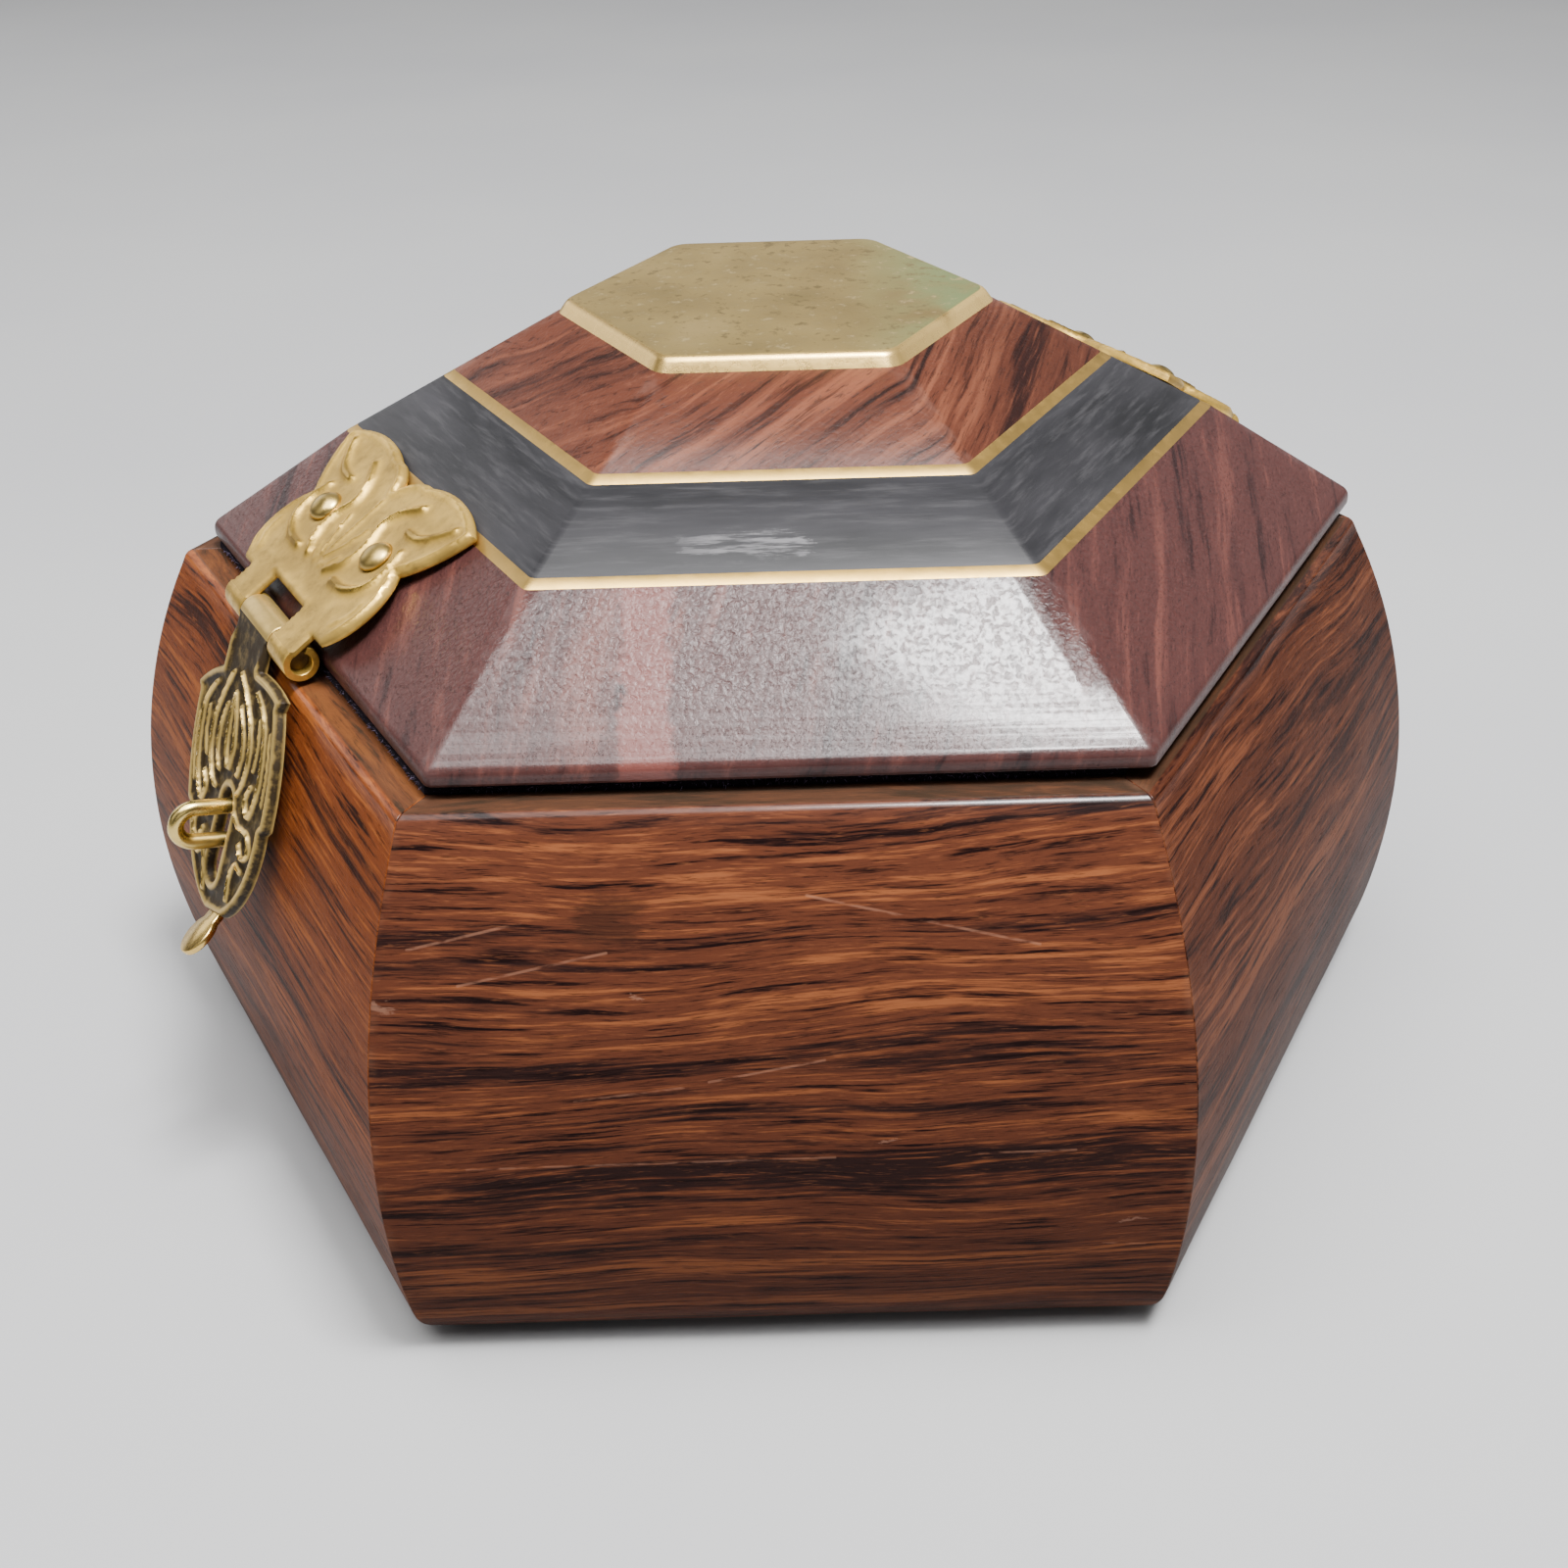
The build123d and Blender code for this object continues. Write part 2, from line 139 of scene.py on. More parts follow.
def softbox(name, place, size, brightness):
    """A rectangular lamp at a place, in millimetres, turned to the box."""
    lamp = bpy.data.lights.new(name, "AREA")
    lamp.shape = "RECTANGLE"
    lamp.size = size[0] * MM
    lamp.size_y = size[1] * MM
    lamp.energy = brightness * math.pi * lamp.size * lamp.size_y
    made = linked(name, lamp)
    made.rotation_mode = "QUATERNION"
    made.rotation_quaternion = (light_target - Vector(place)).to_track_quat("-Z", "Y")
    made.location = Vector(place) * MM
    made.visible_camera = False


softbox("softbox_overhead", (-40, -120, 640), (640, 480), 9.2)
softbox("softbox_gloss", (118, -150, 600), (140, 130), 128.0)
softbox("softbox_front", (0, -760, 360), (620, 320), 0.5)
softbox("softbox_left", (-640, -260, 420), (420, 420), 0.7)
softbox("softbox_right", (640, -220, 420), (420, 420), 0.5)
softbox("softbox_back_left", (-480, 450, 270), (460, 300), 1.9)
softbox("softbox_back_right", (480, 450, 270), (420, 300), 0.5)
softbox("softbox_back", (0, 720, 320), (520, 320), 1.2)

sky = bpy.data.worlds.new("studio_sky")
sky.use_nodes = True
sky_light = sky.node_tree.nodes["Background"].inputs
sky_light["Color"].default_value = (0.80, 0.82, 0.86, 1)
sky_light["Strength"].default_value = 0.08
bpy.context.scene.world = sky

# %% [markdown]
# Materials are sums of patterns. One small class wraps a socket so that `a * 2 + b` adds the Math
# nodes by itself, and a second one holds a material's tree and makes any other node from its
# type, its settings and its inputs. Every finish below is written with these two.

# %% Shader kit
class Wire:
    """A socket that takes part in sums."""

    def __init__(self, finish, socket):
        self.finish = finish
        self.socket = socket

    def maths(self, operation, *values):
        return self.finish.node("ShaderNodeMath", {"operation": operation}, dict(enumerate(values)))

    def __add__(self, other):
        return self.maths("ADD", self, other)

    def __radd__(self, other):
        return self.maths("ADD", other, self)

    def __sub__(self, other):
        return self.maths("SUBTRACT", self, other)

    def __rsub__(self, other):
        return self.maths("SUBTRACT", other, self)

    def __mul__(self, other):
        return self.maths("MULTIPLY", self, other)

    def __rmul__(self, other):
        return self.maths("MULTIPLY", other, self)

    def __truediv__(self, other):
        return self.maths("DIVIDE", self, other)

    def __pow__(self, other):
        return self.maths("POWER", self, other)

    def between(self, low, high):
        """0 below low, 1 above high, and smooth in between."""
        return self.finish.node(
            "ShaderNodeMapRange",
            {"interpolation_type": "SMOOTHSTEP"},
            {"Value": self, "From Min": low, "From Max": high},
        )


class Finish:
    """One material and the nodes that make it."""

    def __init__(self, name):
        self.material = bpy.data.materials.new(name)
        self.material.use_nodes = True
        self.tree = self.material.node_tree
        self.tree.nodes.clear()
        self.shader = self.tree.nodes.new("ShaderNodeBsdfPrincipled")
        output = self.tree.nodes.new("ShaderNodeOutputMaterial")
        self.tree.links.new(self.shader.outputs[0], output.inputs["Surface"])

    def feed(self, socket, value):
        if isinstance(value, Wire):
            self.tree.links.new(value.socket, socket)
        else:
            socket.default_value = value

    def node(self, kind, settings=None, inputs=None, output=0):
        made = self.tree.nodes.new(kind)
        for key, value in (settings or {}).items():
            if key == "stops":
                ramp = made.color_ramp
                while len(ramp.elements) < len(value):
                    ramp.elements.new(1.0)
                for element, (place, colour) in zip(ramp.elements, value):
                    element.position = place
                    element.color = (*colour, 1)
            else:
                setattr(made, key, value)
        for key, value in (inputs or {}).items():
            self.feed(made.inputs[key], value)
        return Wire(self, made.outputs[output])

    def place(self, turn=(0, 0, 0), shift=(0, 0, 0)):
        """Object coordinates in millimetres, turned and shifted."""
        own = self.node("ShaderNodeTexCoord", output="Object")
        return self.node(
            "ShaderNodeMapping",
            {"vector_type": "POINT"},
            {"Vector": own, "Rotation": turn, "Location": shift, "Scale": (1 / MM, 1 / MM, 1 / MM)},
        )

    def stretch(self, vector, factors):
        return self.node("ShaderNodeVectorMath", {"operation": "MULTIPLY"}, {0: vector, 1: factors})

    def axis(self, vector, index):
        return self.node("ShaderNodeSeparateXYZ", inputs={"Vector": vector}, output=index)

    def joined(self, x, y, z):
        return self.node("ShaderNodeCombineXYZ", inputs={"X": x, "Y": y, "Z": z})

    def noise(self, vector, scale=1.0, detail=2.0, roughness=0.5, distortion=0.0):
        return self.node(
            "ShaderNodeTexNoise",
            inputs={
                "Vector": vector,
                "Scale": scale,
                "Detail": detail,
                "Roughness": roughness,
                "Distortion": distortion,
            },
        )

    def mark(self, name):
        """A number that the mesh carries at its points."""
        return self.node("ShaderNodeAttribute", {"attribute_name": name}, output="Fac")

    def stroke(self, place, start, stop, width):
        """1 on a line between two places on the front, given by X and Z, and 0 beyond its width."""
        way = (stop[0] - start[0], stop[1] - start[1])
        x = self.axis(place, "X") - start[0]
        z = self.axis(place, "Z") - start[1]
        share = (x * way[0] + z * way[1]) / (way[0] ** 2 + way[1] ** 2)
        share = self.node("ShaderNodeClamp", inputs={"Value": share})
        off_x = x - share * way[0]
        off_z = z - share * way[1]
        return 1 - ((off_x * off_x + off_z * off_z) ** 0.5).between(width * 0.3, width)

    def ragged(self, place, factors, scale, reach, rise_scale, rise):
        """A place shaken along X and Z, so that what is drawn on it has torn edges."""
        x = self.axis(place, "X") + (self.noise(self.stretch(place, factors), scale, 4, 0.7) - 0.5) * reach
        z = self.axis(place, "Z") + (self.noise(place, rise_scale, 4, 0.7) - 0.5) * rise
        return self.joined(x, 0.0, z)

    def ramp(self, value, stops):
        return self.node("ShaderNodeValToRGB", {"stops": stops}, {"Fac": value})

    def blend(self, share, first, second):
        """The first colour, with a share of the second mixed in."""
        first = first if isinstance(first, Wire) else (*first, 1)
        second = second if isinstance(second, Wire) else (*second, 1)
        return self.node(
            "ShaderNodeMix",
            {"data_type": "RGBA"},
            {0: share, 6: first, 7: second},
            output=2,
        )

    def bump(self, height, depth, strength=1.0, under=None):
        """A normal from a height between 0 and 1 that stands for a depth in millimetres."""
        inputs = {"Height": height, "Distance": depth * MM, "Strength": strength}
        if under:
            inputs["Normal"] = under
        return self.node("ShaderNodeBump", inputs=inputs)

    def done(self, **sockets):
        for key, value in sockets.items():
            self.feed(self.shader.inputs[key.replace("_", " ").title().replace("Ior", "IOR")], value)
        return self.material


print("shader kit ready")

# %% [markdown]
# The floor is a pale plain sheet with the faint unevenness of painted board.

# %% Floor
def floor_paint():
    """Pale paint with faint clouds."""
    paint = Finish("floor_paint")
    place = paint.place()
    cloud = paint.noise(place, 0.01, 3)
    colour = paint.ramp(cloud, [(0.3, (0.37, 0.37, 0.38)), (0.7, (0.40, 0.40, 0.40))])
    return paint.done(base_color=colour, roughness=0.75)


floor_reach = 3.0
floor_level = -0.05 * MM
floor_mesh = bpy.data.meshes.new("floor")
floor_mesh.from_pydata(
    [(x * floor_reach, y * floor_reach, floor_level) for x, y in ((-1, -1), (1, -1), (1, 1), (-1, 1))],
    [],
    [(0, 1, 2, 3)],
)
floor_mesh.materials.append(floor_paint())
floor = linked("floor", floor_mesh)
print("floor", floor_reach, "m each way")

# %% [markdown]
# Rosewood is a warm red-brown with nearly black bands, fine orange and black streaks and short
# open pores, all drawn out along the grain. On each piece the grain follows the piece, so the
# finish takes a turn that brings the grain to the second axis. Noise that is stretched along that
# axis gives the bands, the streaks and the pores. The lacquer is a thin coat with its own gloss
# and the texture of orange peel; where a cloth has rubbed it smooth, fine lines take the place of
# the peel. A mark on the mesh says how far the nearest arris is, and there the lacquer is worn.

# %% Rosewood finish
def shade(tone, red, green, blue):
    """A tone with each of its parts scaled."""
    return (tone[0] * red, tone[1] * green, tone[2] * blue)


def rosewood(name, turn, shift, tones, band=0.36, streak=2.6, contrast=1.0, gloss=0.42, coat=0.5,
             wear=0.35, edge_tone=(0.30, 0.15, 0.09), peel_depth=0.02, worm=0.0, shine=0.02,
             coat_gloss=0.2, slab=1.0, sway=9.0, rubbed_to=None, extra=None):
    """Lacquered rosewood in a dark, a middle and a light tone."""
    wood = Finish(name)
    place = wood.place(turn, shift)
    along = wood.axis(place, "Y")
    across = wood.axis(place, "Z")
    depth = wood.axis(place, "X") * slab
    swing = wood.noise(wood.stretch(place, (0.02, 0.014, 0.03)), 1.0, 2)
    ripple = wood.noise(wood.stretch(place, (0.1, 0.05, 0.12)), 1.0, 2)
    lift = across + (swing - 0.5) * sway + (ripple - 0.5) * 1.4 + depth * 0.3
    bands = wood.noise(wood.joined(depth * 0.08, along * 0.035, lift), band, 3, 0.6)
    lines = wood.noise(wood.joined(depth * 0.3, along * 0.035, lift), streak, 4, 0.68)
    hairs = wood.noise(wood.joined(depth, along * 0.06, lift), 6.5, 3, 0.7)
    dark, mid, light = tones
    mixed = bands + (lines - 0.5) * 0.62 * contrast
    colour = wood.ramp(mixed, [(0.32, light), (0.43, mid), (0.52, mid), (0.66, dark)])
    glow = (1 - lines.between(0.30, 0.45)) * 0.6
    colour = wood.blend(glow, colour, light)
    seam = lines.between(0.54, 0.68) * 0.9 * contrast
    colour = wood.blend(seam, colour, shade(dark, 0.45, 0.45, 0.5))
    pore = hairs.between(0.55, 0.68)
    colour = wood.blend(pore * 0.6, colour, shade(dark, 0.5, 0.5, 0.5))
    pale = (1 - hairs.between(0.30, 0.43)) * 0.30
    colour = wood.blend(pale, colour, shade(light, 1.25, 1.35, 1.5))
    if extra:
        colour = extra(wood, colour)
    own = wood.place()
    rub = wood.noise(own, 0.45, 4, 0.6)
    near = wood.mark("edge")
    worn = (1 - near.between(0.1, 0.9)) * rub.between(0.42, 0.68) * wear
    colour = wood.blend(worn, colour, edge_tone)
    smear = wood.noise(own, 0.05, 3)
    peel = wood.noise(own, 2.3, 1.5, 0.5, 0.5)
    crawl = (peel.between(0.36, 0.62) - 0.5) * worm
    if rubbed_to:
        rubbed = 1 - wood.axis(own, "Z").between(*rubbed_to)
        drawn = wood.noise(wood.stretch(own, (0.06, 0.06, 4.5)), 1.0, 3, 0.6)
        smooth = 1 - rubbed * 0.75
        crawl = crawl * smooth + (drawn.between(0.40, 0.60) - 0.5) * rubbed * worm
        peel = (peel - 0.5) * smooth
    rough = gloss + (smear - 0.5) * 0.14 + worn * 0.15 + pore * 0.08
    grain = wood.bump(pore * -0.7 + bands * 0.2, 0.03, 0.6)
    return wood.done(
        base_color=colour,
        roughness=rough,
        specular_ior_level=shine,
        coat_weight=wood.mark("polish") * coat * (1 + crawl),
        coat_roughness=coat_gloss,
        normal=wood.bump(peel, peel_depth, 1.0, grain),
    )


print("rosewood finish ready")

# %% [markdown]
# A piece of the box is a mesh in millimetres that is scaled to metres, linked, named and then
# handed to the frame: which body it rides on and which solid it stands for. One helper does this
# for all of them, so that no piece is left behind when the lid opens. A few solids of the frame
# stay as they are, and are only given a finish.

# %% Piece helper
def plain_mesh(name, points, faces, marks):
    """A mesh from points in millimetres, with the numbers or vectors that its points carry."""
    mesh = bpy.data.meshes.new(name)
    mesh.from_pydata([tuple(float(c) * MM for c in p) for p in points], [], [tuple(f) for f in faces])
    for key, values in marks.items():
        values = np.asarray(values, np.float32)
        kind, field = ("FLOAT_VECTOR", "vector") if values.ndim == 2 else ("FLOAT", "value")
        layer = mesh.attributes.new(key, kind, "POINT")
        layer.data.foreach_set(field, values.ravel())
    return mesh


def keep(name, points, faces, finish, body, nodes, marks=None, crease=35.0, bevel=0.0):
    """A finished piece from points in millimetres and faces."""
    mesh = plain_mesh(name, points, faces, marks or {})
    work = bmesh.new()
    work.from_mesh(mesh)
    bmesh.ops.remove_doubles(work, verts=work.verts, dist=1e-7)
    bmesh.ops.recalc_face_normals(work, faces=work.faces)
    work.to_mesh(mesh)
    work.free()
    mesh.polygons.foreach_set("use_smooth", [True] * len(mesh.polygons))
    mesh.set_sharp_from_angle(angle=math.radians(crease))
    mesh.materials.append(finish)
    piece = linked(name, mesh)
    if bevel:
        rounding = piece.modifiers.new("edges", "BEVEL")
        rounding.width = bevel * MM
        rounding.segments = 3
        rounding.limit_method = "ANGLE"
        rounding.angle_limit = math.radians(50)
        rounding.harden_normals = True
    return settle(piece, body, nodes)


def settle(piece, body, nodes):
    """Hands a piece to the frame."""
    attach(piece, body)
    if nodes:
        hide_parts(*nodes)
    print(piece.name, "rides on", body, "with", len(piece.data.polygons), "faces")
    return piece


def dress(node, finish):
    """A solid of the frame that stays as it is gets a finish of its own."""
    slots = frame["nodes"][node].data.materials
    slots.clear()
    slots.append(finish)
    print(node, "keeps its solid, with", finish.name)


print("piece helper ready")

# %% [markdown]
# Most pieces are lofts: a loop of points is repeated along a path, and each loop is joined to the
# next. The box has six sides, so places are given by a wall's angle, by how far out from the axis
# they lie, how far across the wall and how high.

# %% Loops and walls
def loft(loops):
    """Points and faces of loops of equal length joined one to the next, with both ends closed."""
    count = len(loops[0])
    points = [p for loop in loops for p in loop]
    faces = []
    for row in range(len(loops) - 1):
        for col in range(count):
            step = (col + 1) % count
            faces.append((
                row * count + col,
                row * count + step,
                (row + 1) * count + step,
                (row + 1) * count + col,
            ))
    last = (len(loops) - 1) * count
    faces.append(tuple(reversed(range(count))))
    faces.append(tuple(range(last, last + count)))
    return points, faces


def arc(center, radius, start, stop, steps):
    """Points on an arc in a plane, angles in degrees."""
    turns = np.radians(np.linspace(start, stop, steps + 1))
    return [(center[0] + radius * math.cos(a), center[1] + radius * math.sin(a)) for a in turns]


def outward(angle):
    """Unit vector from the axis to a wall's middle."""
    return np.array((math.cos(math.radians(angle)), math.sin(math.radians(angle)), 0.0))


def along_wall(angle):
    """Unit vector along a wall, to the right as seen from outside."""
    return np.array((-math.sin(math.radians(angle)), math.cos(math.radians(angle)), 0.0))


UPRIGHT = np.array((0.0, 0.0, 1.0))
half_side = math.tan(math.radians(30))


def by_wall(angle, out, across, level):
    """A place by a wall: out from the axis, across to the right, and up."""
    return out * outward(angle) + across * along_wall(angle) + level * UPRIGHT


print("half a side is", round(half_side, 4), "of the apothem")

# %% [markdown]
# ## The six staves
# The real walls are six staves, each shaped to a swelling curve and mitred at both ends. Only
# their section matters: an arc from rim to foot, a small round at the rim, a large one at the
# foot, and a rebate for the floor. It could be drawn as a curve and extruded, but here the
# section is lofted along the side and its width grows with its distance from the axis, which
# makes the mitres by itself.

# %% Stave section
rim_apothem = 44.5
belly_height = 17.0
inner_apothem = 38.0
floor_apothem = 41.0
floor_top = node_box("floor_board")[1][2]
rim_round = 1.0
foot_round = 5.5

belly_rise = body_height - belly_height
belly_swell = belly_apothem - rim_apothem
belly_radius = (belly_rise ** 2 + belly_swell ** 2) / (2 * belly_swell)
belly_middle = (belly_apothem - belly_radius, belly_height)


def rounding_circle(level, radius):
    """Centre of a round inside the belly's arc that touches a level, and its angle there."""
    drop = level - belly_height
    reach = math.sqrt((belly_radius - radius) ** 2 - drop ** 2)
    return (belly_middle[0] + reach, level), math.degrees(math.atan2(drop, reach))


foot_middle, foot_angle = rounding_circle(foot_round, foot_round)
rim_middle, rim_angle = rounding_circle(body_height - rim_round, rim_round)
stave_section = (
    [(floor_apothem, 0.0)]
    + arc(foot_middle, foot_round, -90, foot_angle, 12)
    + arc(belly_middle, belly_radius, foot_angle, rim_angle, 40)[1:-1]
    + arc(rim_middle, rim_round, rim_angle, 90, 8)
    + [(inner_apothem, body_height), (inner_apothem, floor_top), (floor_apothem, floor_top)]
)
print("stave section has", len(stave_section), "points")

# %% [markdown]
# The staves differ in colour, so each has its own tones. Painted shade darkens the foot, and dust
# darkens the flat of the rim. The front one also has a small knot, fine scratches and dings, which
# are drawn on it as strokes with torn edges. No face is quite flat: noise sets its points back by a
# few hundredths of a millimetre. The rim is rubbed bright, most of all towards its right end, and
# a very fine bevel softens the mitres.

# %% Staves
stave_stations = np.linspace(-1, 1, 33)
stave_dip = 0.05
stave_bevel = 0.14
stave_polish = 0.02
rim_polish = 0.75
rim_polish_swing = 0.25
stave_angles = {
    "front": 270, "front_right": 330, "back_right": 30, "back": 90, "back_left": 150, "front_left": 210,
}
red_brown = ((0.018, 0.008, 0.007), (0.080, 0.025, 0.013), (0.200, 0.065, 0.025))
orange_brown = ((0.028, 0.008, 0.004), (0.125, 0.031, 0.008), (0.235, 0.066, 0.014))
pink_brown = ((0.019, 0.006, 0.004), (0.058, 0.017, 0.008), (0.125, 0.040, 0.017))
stave_tones = {
    "front": red_brown, "front_right": pink_brown, "back_right": red_brown,
    "back": orange_brown, "back_left": red_brown, "front_left": orange_brown,
}
scratches = [
    ((-22.3, 35.4), (-11.9, 37.4)), ((-25.6, 38.0), (-17.7, 39.6)), ((-14.8, 26.3), (-7.0, 27.2)),
    ((-5.2, 27.6), (3.0, 29.1)), ((-23.0, 20.6), (3.6, 20.8)), ((14.0, 20.8), (21.0, 20.9)),
    ((23.6, 11.2), (26.8, 11.0)), ((2.0, 40.9), (18.0, 37.2)),
]
dings = [((-28.0, 34.0), 0.6), ((-10.2, 34.2), 0.3), ((25.2, 13.8), 0.4), ((7.0, 22.1), 0.25)]
knot_place = (-11.7, 39.6)


def foot_shade_and_rim_dust(wood, colour):
    """Painted shade darkens the foot, and dust darkens the flat of the rim."""
    height = wood.axis(wood.place(), "Z")
    # painted shade: each stave is darkened towards its foot, where the overhead light falls off
    colour = wood.blend((1 - height.between(0.0, 22.0)) * 0.5, colour, (0.020, 0.009, 0.007))
    dust = height.between(body_height - 0.05, body_height - 0.01)
    return wood.blend(dust * 0.65, colour, (0.036, 0.022, 0.013))


def handled(wood, colour):
    """A small knot, the fine scratches of use and a few dings on the front."""
    # painted shade at the foot and dust on the rim, as on the other staves
    colour = foot_shade_and_rim_dust(wood, colour)
    own = wood.place()
    torn = wood.ragged(own, (0.25, 0.25, 1.6), 0.9, 7.0, 1.1, 1.6)
    x, z = knot_place
    knot = wood.stroke(torn, (x - 0.8, z), (x + 0.4, z), 2.4)
    colour = wood.blend(knot * 0.6, colour, (0.022, 0.010, 0.007))
    broken = wood.noise(wood.stretch(own, (0.6, 0.6, 2.0)), 1.0, 3).between(0.35, 0.6)
    for start, stop in scratches:
        colour = wood.blend(wood.stroke(own, start, stop, 0.14) * broken * 0.32, colour, (0.34, 0.16, 0.10))
    for middle, size in dings:
        chip = wood.stroke(torn, middle, (middle[0] + size, middle[1]), size)
        colour = wood.blend(chip * 0.25, colour, (0.40, 0.22, 0.15))
    return colour


for order, (side, angle) in enumerate(stave_angles.items()):
    loops = []
    marks = {"edge": [], "polish": []}
    for t in stave_stations:
        loop = []
        for r, z in stave_section:
            dip = 0.0
            if r > floor_apothem + 0.5 and 1 < z < body_height - 1.5:
                dip = stave_dip * (1 + noise.noise(Vector((t * 3.1 + order * 7.7, z * 0.09, order))))
            loop.append(by_wall(angle, r - dip, t * r * half_side, z))
            on_rim = r > rim_apothem - 1.6 and z > body_height - 1.4
            marks["edge"].append((1 - abs(t)) * r * half_side)
            rim_gloss = rim_polish + rim_polish_swing * math.tanh(4 * t)
            marks["polish"].append(rim_gloss if on_rim else stave_polish)
        loops.append(loop)
    points, faces = loft(loops)
    finish = rosewood(
        "rosewood_" + side,
        (0, 0, math.radians(-angle)),
        (order * 61.0, order * 137.0, order * 23.0),
        stave_tones[side],
        contrast=1.35,
        wear=0.10,
        extra=handled if side == "front" else foot_shade_and_rim_dust,
    )
    keep("stave_" + side, points, faces, finish, "box", ["wall_" + side], marks,
         bevel=stave_bevel)

# %% [markdown]
# ## The lid's layers
# The lid is a stack: a lower block of rosewood, a thin sheet of brass, a black band, a second
# sheet of brass, an upper block of rosewood and a brass plate on top, all cut to one hipped
# shape. Each layer is a six-sided loop with rounded corners, lofted through a profile of heights
# and widths. The profile's corners are softened by short curves, so each worn edge is really
# round and catches the light.

# %% Lid lofts
corner_turns = 5
arris_round = 0.8
face_polish = [1.0, 0.24, 0.45, 0.50, 0.45, 0.22]


def hexagon(apothem, corner, steps=18):
    """A six-sided loop with round corners, and each point's distance from the nearest corner."""
    loop = []
    edge = []
    half = (apothem - corner) * half_side
    for k in range(6):
        angle = 60.0 * k - 90.0
        n = outward(angle)[:2]
        u = along_wall(angle)[:2]
        for s in np.linspace(-half, half, steps + 1):
            loop.append(n * apothem + u * s)
            edge.append(half - abs(s))
        bend = (apothem - corner) / math.cos(math.radians(30)) * outward(angle + 30)[:2]
        for turn in np.linspace(0, 60, corner_turns + 1)[1:-1]:
            loop.append(bend + corner * outward(angle + turn)[:2])
            edge.append(0.0)
    return loop, edge


def soften(profile, trims, steps=5):
    """A profile whose corners are replaced by short curves."""
    made = [np.array(profile[0], float)]
    for i in range(1, len(profile) - 1):
        before, here, after = (np.array(profile[j], float) for j in (i - 1, i, i + 1))
        if trims[i] <= 0:
            made.append(here)
            continue
        start = here + (before - here) / np.linalg.norm(before - here) * trims[i]
        stop = here + (after - here) / np.linalg.norm(after - here) * trims[i]
        for s in np.linspace(0, 1, steps + 1):
            made.append((1 - s) ** 2 * start + 2 * s * (1 - s) * here + s ** 2 * stop)
    made.append(np.array(profile[-1], float))
    return made


def lid_layer(name, profile, finish, corner=arris_round, rim_width=None, crease=35.0):
    """A closed layer lofted through (width, height) pairs; widths are apothems."""
    loops = []
    edge = []
    polish = []
    rim = []
    for width, level in profile:
        loop, to_corner = hexagon(width, min(corner, width * 0.3))
        loops.append([(lid_center[0] + x, lid_center[1] + y, level) for x, y in loop])
        edge += to_corner
        polish += list(np.repeat(face_polish, len(loop) // 6))
        rim += [1.0 if rim_width and width > rim_width else 0.0] * len(loop)
    marks = {"rim": rim} if rim_width else {"edge": edge, "polish": polish}
    points, faces = loft(loops)
    keep(name, points, faces, finish, "lid", [name], marks, crease)


layer_names = ["lower_brass_sheet", "black_band", "upper_brass_sheet", "upper_block", "top_plate"]
layer_level = {}
layer_width = {}
for layer in layer_names:
    low, high = node_box(layer)
    layer_level[layer] = low[2]
    layer_width[layer] = (high[1] - low[1]) / 2


def straight(name):
    """A layer's profile: from its own foot to the foot of the layer above it."""
    above = layer_names[layer_names.index(name) + 1]
    return [(layer_width[n], layer_level[n]) for n in (name, above)]


print({k: (round(v, 2), round(layer_width[k], 2)) for k, v in layer_level.items()})

# %% [markdown]
# The lower block is the darkest rosewood, purple-brown under a thick glossy lacquer, with the
# grain running from front to back and one pink streak. The upper block is redder, and its grain
# lies at a slant, so dark stripes cross its faces.

# %% Lid wood
lip_height = 1.25
purple_brown = ((0.024, 0.010, 0.010), (0.050, 0.018, 0.016), (0.105, 0.036, 0.028))
striped_red = ((0.015, 0.005, 0.004), (0.074, 0.022, 0.012), (0.140, 0.046, 0.024))


def pink_streak(wood, colour):
    """A paler streak of sapwood across the front of the lid."""
    own = wood.place()
    side = wood.axis(own, "X") + (wood.noise(own, 0.7, 4, 0.7) - 0.5) * 2.6
    share = side.between(-10.8, -10.0) * (1 - side.between(-7.4, -6.6))
    return wood.blend(share * 0.7, colour, (0.165, 0.050, 0.040))


def darker_right(wood, colour):
    """The upper block grows darker towards its right end."""
    share = wood.axis(wood.place(), "X").between(12, 20)
    return wood.blend(share * 0.35, colour, striped_red[0])


lid_base_finish = rosewood(
    "rosewood_lid_base", (0, math.radians(90), 0), (11.0, 40.0, 9.0), purple_brown,
    band=0.11, streak=0.55, contrast=0.85, gloss=0.36, coat=0.29, wear=0.04, edge_tone=(0.42, 0.34, 0.33),
    peel_depth=0.12, worm=1.15, shine=0.2, coat_gloss=0.12, rubbed_to=(lid_bottom + 1.5, lid_bottom + 6.0),
    extra=pink_streak,
)
upper_block_finish = rosewood(
    "rosewood_upper_block", (0, math.radians(26), 0), (3.0, 90.0, 31.0), striped_red,
    band=0.55, streak=1.9, contrast=0.8, gloss=0.40, coat=0.27, wear=0.06, edge_tone=(0.40, 0.26, 0.22),
    peel_depth=0.04, worm=0.3, shine=0.12, slab=0.12, sway=4.0, extra=darker_right,
)
base_profile = soften(
    [
        (lid_apothem - 0.6, lid_bottom),
        (lid_apothem, lid_bottom),
        (lid_apothem, lid_bottom + lip_height),
        (layer_width["lower_brass_sheet"], layer_level["lower_brass_sheet"]),
    ],
    [0, 0.3, 0.55, 0],
)
lid_layer("lid_base", base_profile, lid_base_finish)
lid_layer("upper_block", straight("upper_block"), upper_block_finish)

# %% [markdown]
# The black band is a dense wood, stained and rubbed: grey-black with fine hazy scuffs that run
# along it, and one pale smear on the front where the lacquer has worn. The two brass sheets show
# only as fine lines round it, pale gold and a little dull.

